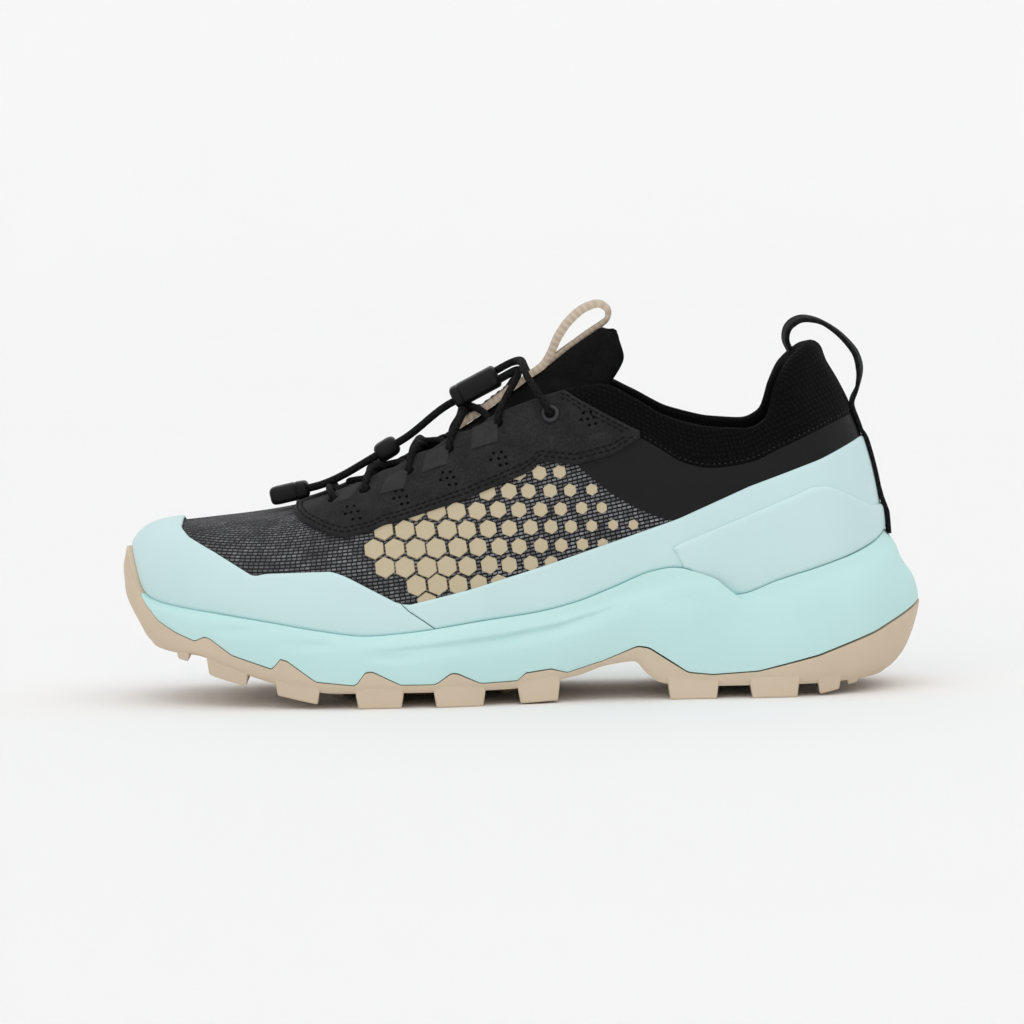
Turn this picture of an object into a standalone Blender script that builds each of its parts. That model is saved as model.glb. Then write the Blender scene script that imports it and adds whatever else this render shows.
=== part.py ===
"""A left hiking shoe with a hollow upper, a cupped midsole, a lugged outsole and a cord lacing.

Places on the shoe are given in millimetres as s, y and z: s runs from the toe tip to the heel,
y is negative on the lateral side and positive on the medial side, and z is the height over the
floor.  The finished part is in metres, toe towards -X, with its origin at the middle of the floor.
"""
import math

import bmesh
import bpy
import numpy as np
from mathutils import Vector

MM = 0.001

# Driving sizes of the shoe, in millimetres.
LENGTH = 280.0
WALL = 2.0
GAP = 0.3
RAND_THICKNESS = 1.0
COUNTER_THICKNESS = 1.0
EYESTAY_THICKNESS = 1.2
EYESTAY_LIFT = 0.75
TOE_LIFT = 0.65
TONGUE_THICKNESS = 3.0
TONGUE_CLEARANCE = 0.9
TONGUE_UNDERLAP = 0.90
INSOLE_THICKNESS = 4.0
INSOLE_CLEARANCE = 0.5
CUP_GAP = 0.55
SOLE_LIP = 2.6
HEEL_LIP = 1.4
LIP_FADE = 0.8
CUP_LEVELS = (0.75, 0.5, 0.25, 0.0)
LACE_DIAMETER = 2.5
LACE_CLEARANCE = 0.4
LOOP_WIDTH = 12.0
TONGUE_TAPE_WIDTH = 10.0
TAPE_CLEARANCE = 0.35
LOOP_THICKNESS = 1.2

# Resolution: columns on each side of the shoe, rows up the wall and up each overlay, points
# along each strap, and the finer steps in which curves are measured.
SIDE_COLUMNS = 32
WALL_ROWS = 8
TOE_ROWS = 8
HEEL_ROWS = 4
COUNTER_ROWS = 3
EYESTAY_ROWS = 5
HEEL_STRAP_STEPS = 34
TONGUE_STRAP_STEPS = 24
FINE_STEPS = 161
CURVE_STEPS = 400
SHARP_ANGLE = math.radians(35)


def table(columns, text):
    """Read a small table of numbers into named columns."""
    rows = [[float(word) for word in line.split()] for line in text.strip().splitlines()]
    return dict(zip(columns.split(), np.array(rows).T))


# Plan outline of the whole sole: reach to the lateral and the medial side at each s.
SOLE_PLAN = table("s lateral medial", """
      0   -6.0    6.0
      4   10.0   20.0
     12   24.0   31.0
     30   37.0   40.5
     60   46.5   46.0
     85   50.5   47.0
    110   50.5   45.0
    140   45.5   39.0
    170   40.5   35.5
    200   39.5   36.5
    230   40.0   39.0
    255   36.0   36.0
    272   23.0   23.0
    280    0.0    0.0
""")

# Plan outline of the upper where its wall meets the footbed.
UPPER_PLAN = table("s lateral medial", """
      7   -7.0    7.0
     11    7.0   18.5
     20   19.5   27.5
     35   30.0   34.0
     60   39.0   38.5
     85   43.0   39.5
    110   43.0   37.5
    140   38.5   31.5
    170   33.0   27.5
    200   30.5   28.0
    230   30.0   29.5
    250   26.5   26.5
    261   16.0   16.0
    266    0.0    0.0
""")

# Height of the footbed along the shoe.
FOOTBED = table("s z", """
      7  27.0
     15  24.0
     30  20.5
     60  17.5
     90  17.0
    130  19.0
    170  23.0
    210  26.5
    250  28.5
    266  29.0
""")

# Top edge of the upper: throat front, throat side, collar corner, ankle dip and heel tab.
# The share runs from the toe column (0) to the heel column (1).
TOPLINE = table("share s reach z", """
    0.00   66.0   0.0   67.0
    0.06   66.4   3.5   67.2
    0.12   68.0   6.5   68.0
    0.20   72.5   9.5   70.0
    0.30   85.0  12.5   75.2
    0.40  108.0  15.5   86.2
    0.50  138.0  19.0  101.0
    0.56  160.0  22.5  108.5
    0.59  170.0  24.5  110.0
    0.62  180.0  27.0  105.5
    0.66  193.0  29.5   98.0
    0.71  207.0  31.0   94.3
    0.77  219.0  30.5   93.8
    0.82  226.0  29.0   97.0
    0.86  229.5  26.5  107.0
    0.91  233.5  20.5  115.5
    0.96  239.0  10.5  120.5
    1.00  241.0   0.0  121.5
""")

# Form of the wall in each column: how square its shoulder is, how far it swells outwards,
# and how much of its height it gains along the top instead of up the side.
WALL_FORM = table("share square swell climb", """
    0.00   9.0   4.5   4.2
    0.08   7.5   4.2   4.8
    0.16   5.5   3.6   6.0
    0.25   3.6   3.0   8.5
    0.35   2.4   3.0   7.5
    0.45   1.8   3.2   2.5
    0.55   1.6   3.5   0.0
    0.65   1.5   3.6   0.0
    0.75   1.5   3.6   0.0
    0.85   1.5   3.8   0.0
    1.00   1.6   3.6   0.0
""")
# The gain along the top comes late, so that the toe box stays flat before the throat.
CLIMB_BEND = 2.0

# Rim of the sole against the upper's wall: bumper, forefoot, hump before the heel, heel cup.
SOLE_RIM = table("s z", """
      0  54.5
      4  54.0
      6  48.5
      9  39.5
     12  37.0
     19  35.2
     34  33.0
     53  30.0
     70  27.0
     87  25.0
     98  25.6
    127  29.4
    145  31.6
    159  34.7
    172  39.4
    187  45.0
    193  45.8
    198  45.2
    203  40.8
    209  36.4
    215  35.9
    230  40.8
    247  46.0
    262  51.8
    268  55.5
    280  55.5
""")

# Underside of the sole between its lugs: toe spring, ball, arch, heel breast and heel bevel.
TREAD_BASE = table("s z", """
      0  22.0
     11  21.0
     17  18.5
     27  18.0
     38  14.0
     47  11.0
     60   7.5
     75   5.5
    105   5.3
    135   5.5
    150   7.5
    160   9.5
    169  12.4
    179  13.6
    183   9.5
    188   6.0
    200   4.4
    241   4.5
    252   4.9
    262   5.4
    270   6.8
    280  10.0
""")

# Lowest face of the lugs: flat on the floor under the ball and under the heel.
LUG_FLOOR = table("s z", """
     17  17.0
     25  15.4
     31  11.5
     45   7.6
     56   4.6
     70   1.6
     82   0.0
    129   0.0
    140   0.4
    156   0.9
    188   0.0
    237   0.0
    246   1.1
    254   3.2
    262   5.2
""")

# Edge lugs, the same on both sides, and the blocks down the middle.
EDGE_LUGS = table("front back reach", """
     19    25    13
     30    45.5  22
     54    70.3  27
     82    99.3  28
    109   127.5  27
    138   153.4  24
    190   208.5  22
    218.5 236.5  22
    242   251.3  18
    252.2 258    13
""")
MIDDLE_LUGS = table("s half_length half_width", """
     38   4.0   9.0
     51   4.5  11.0
     77   5.0  13.0
    105   5.0  13.0
    133   5.0  10.0
    202   6.0  11.0
    228   6.0  11.0
""")
LUG_DRAFT = 1.2
LUG_SIDE_INSET = 2.4
LUG_ROOT_INSET = 1.0
LUG_ROOT = 2.0
# Extra inset of the edge lugs where the side of the sole curls under at toe and heel.
LUG_TUCK = table("s inset", """
     19   3.4
     54   0.0
    219   0.0
    242   2.5
    252   6.0
""")

# Side of the sole in each column: inset from the plan outline at eight heights, as shares of
# the way from the tread to the rim.
SIDE_HEIGHTS = (0.0, 0.06, 0.16, 0.32, 0.50, 0.66, 0.80, 0.92)
SIDE_FORM = table("share foot low h16 h32 h50 h66 h80 h92", """
    0.00  17.0  12.0   9.2   4.4   1.0   0.3   0.0   0.8
    0.08  12.0   7.5   5.4   2.6   0.8   0.2   0.0   0.6
    0.18   6.0   3.5   2.0   1.0   0.4   0.0   0.2   1.0
    0.35   3.2   2.0   1.0   0.4   0.0   0.0   0.4   1.4
    0.50   3.5   2.4   1.4   0.6   0.1   0.0   0.6   1.8
    0.62   4.0   3.0   2.0   1.0   0.2   0.0   0.8   2.6
    0.72   4.0   2.8   1.6   0.6   0.0   0.0   0.6   2.0
    0.85   8.5   5.8   3.5   1.6   0.3   0.3   1.6   3.8
    1.00  14.0   9.4   5.3   1.9   0.0   1.8   6.5   9.0
""")

# Seam between midsole and outsole, and the outsole's fingers that rise into the midsole.
SEAM_BASE = table("s z", """
      6.6  90.0
      7.0  38.0
      9.0  35.0
     13.5  30.0
     19.5  26.3
     26.0  23.6
     40.0  18.6
     53.0  14.2
     69.0   9.6
     82.0   8.3
    126.0   8.0
    138.0   8.4
    156.0  10.6
    166.0  13.6
    198.0   9.3
    206.0   8.4
    222.0   9.4
    243.0  14.4
    263.0  21.5
    277.0  28.5
    290.0  36.0
""")
FINGERS = table("start crest crest_end end rise", """
     26.5   30.0   32.0   39.5   2.9
     53.5   56.6   58.7   68.5   4.4
     82.5   86.0   88.5   98.0   4.7
    110.0  115.4  117.5  125.5   3.8
    138.5  141.0  150.0  155.5   2.2
    166.5  180.0  184.0  197.5   7.2
""")
SEAM_REACH = 80.0
SEAM_DEPTH = 60.0

# Upper edge of the rand in side view: toe cap, dip, peak at the ball, rise to the heel.
RAND_EDGE = table("s z", """
      0  110.0
     20   90.0
     22   60.6
     25   58.0
     34   53.5
     48   45.5
     52   46.5
     75   47.2
     80   45.4
     97   36.4
    101   35.4
    123   40.4
    151   48.4
    173   55.4
    195   62.6
    220   73.4
    245   82.0
    259   88.0
    275   90.0
""")
RAND_FOOT = 0.5
RAND_SPLIT = 0.405
RAND_SEAM = 0.06
RAND_SLANT = 2.0
LEAN_COLUMNS = 4

# Upper edge of the raised heel counter, and the column where it starts.
COUNTER_EDGE = table("s z", """
    180  44.0
    195  54.0
    242  72.6
    247  72.6
    252  70.0
    262  64.5
    275  63.0
""")
COUNTER_START = 0.655
COUNTER_FOOT = 1.4

# Eyestay in side view: its lower edge over the vamp, and its rear edge behind the top eyelet.
EYESTAY_LOW = table("s z", """
     50  120.0
     57   85.0
     58   63.6
     68   61.6
     80   58.6
     88   60.2
     97   63.2
    121   70.8
    144   79.8
    147   83.4
    160   82.0
    173   85.2
    181   90.0
    190   95.0
""")
EYESTAY_REAR = table("s z", """
      0  150.0
    151  150.0
    154  109.0
    160  105.0
    170   99.6
    180   94.2
    190   90.0
""")
EYESTAY_END = 0.622
EYESTAY_TOP = 0.985
EYESTAY_MIN = 0.012

# Tongue along the throat: the ridge of each section; its sides follow the upper's inside.
TONGUE_RIDGE = table("share s z", """
    0.10   66.5   65.0
    0.16   69.0   66.6
    0.22   74.0   69.2
    0.30   83.5   73.2
    0.36   95.0   78.4
    0.43  111.0   87.4
    0.50  128.0   98.4
    0.55  140.0  107.0
    0.57  145.5  111.2
""")
# Free top of the tongue above the collar: ridge, shoulder and edge of each section.
TONGUE_FREE = table("ridge_s ridge_z shoulder_s shoulder_y shoulder_z edge_s edge_y edge_z", """
    157.0  120.0  162.5  16.2  118.2  168.0  19.4  115.2
    166.0  126.0  169.5  13.6  124.5  174.0  17.8  122.0
    170.0  128.6  171.0   9.0  128.0  173.5  13.5  126.4
""")
TONGUE_ACROSS = 9
# Rows of the tongue's ridge that carry its tape, and the place from which the lace runs over it.
TAPE_ROWS = slice(5, 9)
TAPE_FRONT = 106.0

# Lace holes in side view; the last pair has ringed eyelets.
LACE_HOLES = table("s z", """
     76.0   69.4
     87.5   72.6
    102.0   79.4
    116.5   86.6
    134.0   95.4
    153.0   98.6
""")
LAST_HOLE = 4
EYELET = 5
EYELET_RADIUS = 2.3
EYELET_TUBE = 0.9
# Where on the wall the holes are looked for: lowest level, columns left out at both ends, step.
HOLE_LEVEL = 0.6
HOLE_MARGIN = 4.0
HOLE_STEP = 0.25

# Straps, as points (s, z) in the middle plane of the shoe.
HEEL_LOOP = ((236.9, 118.8), (235.4, 122.6), (236.3, 126.4), (239.8, 128.8), (245.0, 128.4),
             (251.0, 125.0), (256.0, 119.6), (259.4, 112.8), (260.4, 105.5))
HEEL_TAPE_START = 0.66
HEEL_TAPE_END = 0.275
HEEL_TAPE_POINTS = 8
TONGUE_LOOP = ((155.0, 120.6), (160.8, 128.0), (166.8, 133.8), (172.0, 135.2), (175.0, 132.6),
               (174.2, 128.9))

# Cord lock, keeper and end clip on the lace: length, width, height, place and tilt in degrees.
LOCK = {"size": (18.0, 13.0, 8.0), "place": (125.5, 0.0, 107.9), "tilt": 27.0}
KEEPER = {"size": (8.5, 11.0, 7.0), "place": (94.0, 0.0, 86.6), "tilt": 30.0}
CLIP = {"size": (14.0, 9.0, 6.4), "place": (59.5, 0.0, 72.0), "tilt": 12.0}
BLOCK_ROUND = 1.4
TAIL_SPACING = 2.1
LEAD_SPACING = 4.2
LEAD_DROP = 1.6
CORD_RUN = 6.0
CORD_FACE = 0.6
CORD_STEP = 7.0
TURN_REACH = 1.7
CLIMB_LIFT = 0.35
CLIMB_STEPS = (0.36, 0.7, 1.0)
LEAD_AHEAD = 3.0
TOP_BEND = 146.0
TOP_BEND_LIFT = 4.0

COLOURS = {
    "outsole": ("#C5B39C", 0.75),
    "midsole": ("#B6E2DF", 0.55),
    "insole": ("#1B1B1D", 0.90),
    "upper": ("#2A2A2C", 0.85),
    "toe_rand": ("#BFE0DE", 0.45),
    "heel_rand": ("#BFE0DE", 0.45),
    "heel_counter": ("#BCE2E0", 0.45),
    "eyestay": ("#242425", 0.80),
    "tongue": ("#141415", 0.90),
    "tongue_loop": ("#CDBCAA", 0.80),
    "heel_loop": ("#151516", 0.80),
    "eyelet_lateral": ("#101011", 0.40),
    "eyelet_medial": ("#101011", 0.40),
    "lace_crossings": ("#121213", 0.70),
    "cord_lock": ("#0E0E0F", 0.40),
    "lace_keeper": ("#0E0E0F", 0.40),
    "lace_end_clip": ("#0E0E0F", 0.40),
    "lace_tail": ("#121213", 0.70),
}


def smooth_line(places, values):
    """Return a smooth function through the points that never overshoots between them."""
    places = np.asarray(places, float)
    values = np.asarray(values, float)
    steps = np.diff(places)
    slopes = np.diff(values) / steps
    tangents = np.zeros_like(values)
    tangents[0] = slopes[0]
    tangents[-1] = slopes[-1]
    for i in range(1, len(places) - 1):
        if slopes[i - 1] * slopes[i] > 0:
            before = 2 * steps[i] + steps[i - 1]
            after = steps[i] + 2 * steps[i - 1]
            tangents[i] = (before + after) / (before / slopes[i - 1] + after / slopes[i])

    def value(place):
        place = np.clip(place, places[0], places[-1])
        i = np.clip(np.searchsorted(places, place) - 1, 0, len(steps) - 1)
        t = (place - places[i]) / steps[i]
        near = values[i] * (1 + 2 * t) + tangents[i] * steps[i] * t
        far = values[i + 1] * (3 - 2 * t) - tangents[i + 1] * steps[i] * (1 - t)
        return near * (1 - t) ** 2 + far * t ** 2

    return value


def straight_line(rows):
    """Return a function that runs straight from row to row of an s and z table."""
    return lambda place: np.interp(place, rows["s"], rows["z"])


footbed = smooth_line(FOOTBED["s"], FOOTBED["z"])
sole_rim = smooth_line(SOLE_RIM["s"], SOLE_RIM["z"])
tread_base = smooth_line(TREAD_BASE["s"], TREAD_BASE["z"])
lug_floor = smooth_line(LUG_FLOOR["s"], LUG_FLOOR["z"])
rand_edge = straight_line(RAND_EDGE)
counter_edge = straight_line(COUNTER_EDGE)
eyestay_low = straight_line(EYESTAY_LOW)
eyestay_rear = straight_line(EYESTAY_REAR)

AXIS_SHIFT = (SOLE_PLAN["lateral"].max() - SOLE_PLAN["medial"].max()) / 2

# The ring of columns: toe, lateral side, heel, medial side.  They stand closer together
# where the rim of the sole dips in front of the heel.
RIM_DIP = 0.665
RIM_DIP_SPREAD = 0.06
RIM_DIP_DENSITY = 1.5


def column_shares():
    fine = np.linspace(0.0, 1.0, SIDE_COLUMNS * FINE_STEPS)
    density = 1 + RIM_DIP_DENSITY * np.exp(-((fine - RIM_DIP) / RIM_DIP_SPREAD) ** 2)
    reach = np.concatenate([[0.0], np.cumsum((density[1:] + density[:-1]) / 2)])
    return np.interp(np.linspace(0.0, reach[-1], SIDE_COLUMNS + 1), reach, fine)


SIDE_SHARES = column_shares()
SHARES = np.concatenate([SIDE_SHARES, SIDE_SHARES[-2:0:-1]])
COLUMNS = len(SHARES)
ON_MEDIAL = np.arange(COLUMNS) > SIDE_COLUMNS


def by_share(rows, column):
    """Read one column of a share table at every column of the ring."""
    return smooth_line(rows["share"], rows[column])(SHARES)


def plan_ring(plan):
    """Points of a closed plan outline at every column of the ring."""
    start = plan["s"][0]
    span = plan["s"][-1] - start
    share = np.arccos(1 - 2 * (plan["s"] - start) / span) / math.pi
    lateral = smooth_line(share, -plan["lateral"])(SHARES)
    medial = smooth_line(share, plan["medial"])(SHARES)
    s = start + span * (1 - np.cos(math.pi * SHARES)) / 2
    return np.stack([s, np.where(ON_MEDIAL, medial, lateral)], axis=1)


def outward(ring):
    """Unit directions that point out of a plan ring, in its own plane."""
    along = np.roll(ring, -1, axis=0) - np.roll(ring, 1, axis=0)
    normal = np.stack([along[:, 1], -along[:, 0]], axis=1)
    return normal / np.linalg.norm(normal, axis=1, keepdims=True)


def upper_columns():
    """Wall of the upper as fine columns of points from the footbed to the top edge."""
    base = plan_ring(UPPER_PLAN)
    side = np.where(ON_MEDIAL, 1.0, -1.0)
    top = np.stack([by_share(TOPLINE, "s"), side * by_share(TOPLINE, "reach")], axis=1)
    base_z = footbed(base[:, 0])
    height = by_share(TOPLINE, "z") - base_z
    power = 2 / by_share(WALL_FORM, "square")[:, None]
    climb = by_share(WALL_FORM, "climb")[:, None]
    swell = by_share(WALL_FORM, "swell")[:, None]
    turn = np.linspace(0.0, math.pi / 2, 4 * FINE_STEPS)[None, :]
    inward = 1 - np.clip(np.cos(turn), 0.0, 1.0) ** power
    rise = np.sin(turn) ** power
    bulge = swell * np.sin(math.pi * rise)
    plan = base[:, None] + (top - base)[:, None] * inward[..., None]
    plan = plan + outward(base)[:, None] * bulge[..., None]
    z = base_z[:, None] + (height[:, None] - climb) * rise + climb * inward ** CLIMB_BEND
    raw = np.concatenate([plan, z[..., None]], axis=2)
    return np.array([even_steps(column, FINE_STEPS) for column in raw])


def even_steps(points, count):
    """Read a path of points again at even distances along it."""
    lengths = np.linalg.norm(np.diff(points, axis=0), axis=1)
    reach = np.concatenate([[0.0], np.cumsum(lengths)])
    wanted = np.linspace(0.0, reach[-1], count)
    return np.stack([np.interp(wanted, reach, points[:, axis]) for axis in range(3)], axis=1)


def grid_normals(grid):
    """Normals of a closed ring of columns, pointing out of the shoe."""
    around = np.roll(grid, -1, axis=0) - np.roll(grid, 1, axis=0)
    up = np.gradient(grid, axis=1)
    normal = np.cross(around, up)
    return normal / np.linalg.norm(normal, axis=2, keepdims=True)


UPPER = upper_columns()
UPPER_NORMALS = grid_normals(UPPER)


def wall_point(column, level, offset):
    """Point on the upper's wall: column may lie between two columns, level runs from 0 to 1."""
    first = math.floor(column)
    part = column - first
    fine = np.linspace(0.0, 1.0, FINE_STEPS)
    total = np.zeros(3)
    for index, weight in ((first, 1 - part), (first + 1, part)):
        spot = UPPER[index % COLUMNS] + offset * UPPER_NORMALS[index % COLUMNS]
        total += weight * np.array([np.interp(level, fine, spot[:, axis]) for axis in range(3)])
    return total


def crossing(column, line):
    """Level at which a column first climbs over a line drawn in side view."""
    points = UPPER[column % COLUMNS]
    over = points[:, 2] - line(points[:, 0])
    above = np.nonzero(over > 0)[0]
    if len(above) == 0:
        return 1.0
    i = above[0]
    if i == 0:
        return 0.0
    return (i - 1 + over[i - 1] / (over[i - 1] - over[i])) / (FINE_STEPS - 1)


def level_at(column, line):
    """Crossing level at a column that may lie between two columns."""
    first = math.floor(column)
    part = column - first
    return (1 - part) * crossing(first, line) + part * crossing(first + 1, line)


def rand_foot(place):
    """Lowest line of the rand, just over the rim of the sole."""
    return sole_rim(place) + RAND_FOOT


def counter_foot(place):
    """Lowest line of the counter, which lies further out over the rim."""
    return sole_rim(place) + COUNTER_FOOT


def patch(columns, low, high, rows, offset, limit=1.0, slant=0.0):
    """Grid of points on the upper between two side-view lines, for an overlay.

    The columns near both ends may lean: slant moves the lower end of the overlay outwards."""
    grid = []
    for order, column in enumerate(columns):
        before_end = len(columns) - 1 - order
        lean = slant * (max(0.0, 1 - before_end / LEAN_COLUMNS) - max(0.0, 1 - order / LEAN_COLUMNS))
        strip = []
        for row in range(rows + 1):
            share = row / rows
            spot = column + lean * (1 - share)
            bottom = level_at(spot, low)
            top = min(level_at(spot, high), limit)
            if top - bottom < EYESTAY_MIN:
                middle = (top + bottom) / 2
                bottom = middle - EYESTAY_MIN / 2
                top = middle + EYESTAY_MIN / 2
            strip.append(wall_point(spot, bottom + (top - bottom) * share, offset))
        grid.append(strip)
    return np.array(grid)


def place(points):
    """Turn shoe places in millimetres into part coordinates in metres."""
    shifted = np.asarray(points, float) + np.array([-LENGTH / 2, AXIS_SHIFT, 0.0])
    return shifted * MM


def linear(hex_colour):
    """Turn an sRGB hex colour into linear values with full opacity."""
    channels = [int(hex_colour[i:i + 2], 16) / 255 for i in (1, 3, 5)]
    return [c / 12.92 if c <= 0.04045 else ((c + 0.055) / 1.055) ** 2.4 for c in channels] + [1.0]


def make_material(name):
    colour, roughness = COLOURS[name]
    material = bpy.data.materials.new(name)
    material.use_nodes = True
    shader = material.node_tree.nodes["Principled BSDF"]
    shader.inputs["Base Color"].default_value = linear(colour)
    shader.inputs["Roughness"].default_value = roughness
    shader.inputs["Metallic"].default_value = 0.0
    material.diffuse_color = linear(colour)
    return material


def add_object(name, mesh, collection, material=None):
    item = bpy.data.objects.new(name, mesh)
    collection.objects.link(item)
    if material:
        mesh.materials.append(make_material(material))
    return item


def add_cutter(name, mesh, collection):
    item = add_object(name, mesh, collection)
    item.hide_render = True
    item.display_type = "WIRE"
    return item


def mesh_of(name, points, faces):
    """Mesh from shoe places, with its faces turned outwards and shaded smooth."""
    mesh = bpy.data.meshes.new(name)
    mesh.from_pydata([tuple(point) for point in place(points)], [], faces)
    work = bmesh.new()
    work.from_mesh(mesh)
    bmesh.ops.recalc_face_normals(work, faces=work.faces)
    work.to_mesh(mesh)
    work.free()
    mesh.shade_smooth()
    mesh.set_sharp_from_angle(angle=SHARP_ANGLE)
    return mesh


def sheet_mesh(name, grid, closed=False):
    """Open sheet over a grid of columns and rows, its face normals out of the shoe."""
    columns, rows = grid.shape[:2]
    last = columns if closed else columns - 1
    faces = []
    for i in range(last):
        near = i * rows
        far = (i + 1) % columns * rows
        for k in range(rows - 1):
            faces.append((near + k, far + k, far + k + 1, near + k + 1))
    mesh = bpy.data.meshes.new(name)
    mesh.from_pydata([tuple(point) for point in place(grid.reshape(-1, 3))], [], faces)
    mesh.shade_smooth()
    mesh.set_sharp_from_angle(angle=SHARP_ANGLE)
    return mesh


def add_sheet(name, grid, thickness, grow, collection, closed=False, material=None):
    """Sheet of cloth, film or foam: it thickens along its face normals (grow 1) or against them (-1)."""
    item = add_object(name, sheet_mesh(name, grid, closed), collection, material or name)
    solidify = item.modifiers.new("thickness", "SOLIDIFY")
    solidify.thickness = thickness * MM
    solidify.offset = grow
    return item


def ring_solid(rings):
    """Points and faces of a solid: rings of columns stacked up, closed by rungs at both ends."""
    points = np.concatenate(rings)
    faces = []
    for level in range(len(rings) - 1):
        low = level * COLUMNS
        for j in range(COLUMNS):
            k = (j + 1) % COLUMNS
            faces.append((low + j, low + k, low + COLUMNS + k, low + COLUMNS + j))
    for start in (0, (len(rings) - 1) * COLUMNS):
        for j in range(SIDE_COLUMNS):
            rung = [j, j + 1, COLUMNS - j - 1, (COLUMNS - j) % COLUMNS]
            faces.append([start + corner for corner in dict.fromkeys(rung)])
    return points, faces


def with_height(plan, z):
    return np.concatenate([plan, np.broadcast_to(z, len(plan))[:, None]], axis=1)


def wall_ring(levels, offset):
    return np.array([wall_point(j, levels[j], offset) for j in range(COLUMNS)])


def sole_body():
    """Whole sole before the seam is cut: tread, shaped side, rim, cup for the upper and footbed."""
    outline = plan_ring(SOLE_PLAN)
    out = outward(outline)
    rim_levels = np.array([crossing(j, sole_rim) for j in range(COLUMNS)])
    rim_z = wall_ring(rim_levels, 0.0)[:, 2]
    insets = [by_share(SIDE_FORM, name) for name in list(SIDE_FORM)[1:]]
    foot_plan = outline - out * insets[0][:, None]
    foot_z = tread_base(foot_plan[:, 0])
    rings = []
    for share, inset in zip(SIDE_HEIGHTS, insets):
        rings.append(with_height(outline - out * inset[:, None], foot_z + (rim_z - foot_z) * share))
    lip = SOLE_LIP + (HEEL_LIP - SOLE_LIP) * np.clip((SHARES - LIP_FADE) / (1 - LIP_FADE), 0.0, 1.0)
    inner = wall_ring(rim_levels, CUP_GAP)
    rim_out = outward(inner[:, :2])
    rings.append(with_height(inner[:, :2] + rim_out * lip[:, None], rim_z))
    rings.append(with_height(inner[:, :2], rim_z))
    for share in CUP_LEVELS:
        rings.append(wall_ring(rim_levels * share, CUP_GAP))
    floor = rings[-1].copy()
    floor[:, 2] = footbed(floor[:, 0]) - GAP
    rings[-1] = floor
    return mesh_of("sole_body", *ring_solid(rings))


def seam_line():
    """Side-view points of the seam: the base line with the fingers standing on it."""
    spots = [(s, z) for s, z in zip(SEAM_BASE["s"], SEAM_BASE["z"])]
    base = straight_line(SEAM_BASE)
    for start, crest, crest_end, end, rise in zip(*FINGERS.values()):
        spots = [spot for spot in spots if not start < spot[0] < end]
        spots += [(start, base(start)), (end, base(end))]
        spots += [(s, base(s) + rise) for s in (crest, crest_end)]
    return np.array(sorted(spots))


def seam_prism(name, side):
    """Block of all space over (side 1) or under (side -1) the seam, half a gap away from it."""
    line = seam_line()
    along = np.gradient(line, axis=0)
    normal = np.stack([-along[:, 1], along[:, 0]], axis=1)
    normal /= np.linalg.norm(normal, axis=1, keepdims=True)
    edge = line + normal * side * GAP / 2
    if side > 0:
        corners = [(LENGTH + SEAM_REACH, edge[-1, 1]), (LENGTH + SEAM_REACH, edge[0, 1])]
    else:
        corners = [(LENGTH + SEAM_REACH, edge[-1, 1]), (LENGTH + SEAM_REACH, -SEAM_DEPTH),
                   (-SEAM_REACH, -SEAM_DEPTH), (-SEAM_REACH, edge[0, 1])]
    profile = np.concatenate([edge, corners])
    count = len(profile)
    points = [(s, y, z) for y in (-SEAM_REACH, SEAM_REACH) for s, z in profile]
    faces = [list(range(count)), list(range(count, 2 * count))]
    for i in range(count):
        k = (i + 1) % count
        faces.append((i, k, count + k, count + i))
    return mesh_of(name, points, faces)


def block_between(low, high):
    """Points and faces of a block between two outlines with the same number of corners."""
    count = len(low)
    faces = [list(range(count)), list(range(count, 2 * count))]
    for i in range(count):
        k = (i + 1) % count
        faces.append((i, k, count + k, count + i))
    return list(low) + list(high), faces


def edge_lug(front, back, reach, medial):
    """Lug at the edge of the tread, its outer face in line with the side of the sole."""
    start = SOLE_PLAN["s"][0]
    span = SOLE_PLAN["s"][-1] - start
    share = np.arccos(1 - 2 * (SOLE_PLAN["s"] - start) / span) / math.pi
    column = SOLE_PLAN["medial"] if medial else SOLE_PLAN["lateral"]
    side = smooth_line(share, column)
    sign = 1.0 if medial else -1.0

    def corners(inset, draft, at_root):
        places = np.linspace(front + draft, back - draft, 3)
        edge = side(np.arccos(1 - 2 * (places - start) / span) / math.pi) - inset
        inner = edge.min() - reach + draft
        outline = [(s, y) for s, y in zip(places, edge)]
        outline += [(places[2], inner), (places[0], inner)]
        heights = [tread_base(s) + LUG_ROOT if at_root else lug_floor(s) for s, y in outline]
        return [(s, sign * y, float(z)) for (s, y), z in zip(outline, heights)]

    tuck = float(np.interp(front, LUG_TUCK["s"], LUG_TUCK["inset"]))
    return block_between(corners(LUG_SIDE_INSET + tuck, LUG_DRAFT, False),
                         corners(LUG_ROOT_INSET + tuck, 0.0, True))


def middle_lug(s, half_length, half_width):
    """Six-sided block in the middle of the tread."""
    def corners(draft, at_root):
        tip = half_length - draft
        wing = half_width - draft
        outline = [(s - tip, -wing / 2), (s, -wing), (s + tip, -wing / 2),
                   (s + tip, wing / 2), (s, wing), (s - tip, wing / 2)]
        heights = [tread_base(a) + LUG_ROOT if at_root else lug_floor(a) for a, y in outline]
        return [(a, y, float(z)) for (a, y), z in zip(outline, heights)]

    return block_between(corners(LUG_DRAFT, False), corners(0.0, True))


def lug_mesh():
    """All lugs of the tread as one mesh of separate blocks."""
    blocks = []
    for row in zip(*EDGE_LUGS.values()):
        blocks += [edge_lug(*row, medial) for medial in (False, True)]
    blocks += [middle_lug(*row) for row in zip(*MIDDLE_LUGS.values())]
    points = []
    faces = []
    for block_points, block_faces in blocks:
        faces += [[corner + len(points) for corner in face] for face in block_faces]
        points += block_points
    return mesh_of("tread_lugs", points, faces)


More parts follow.
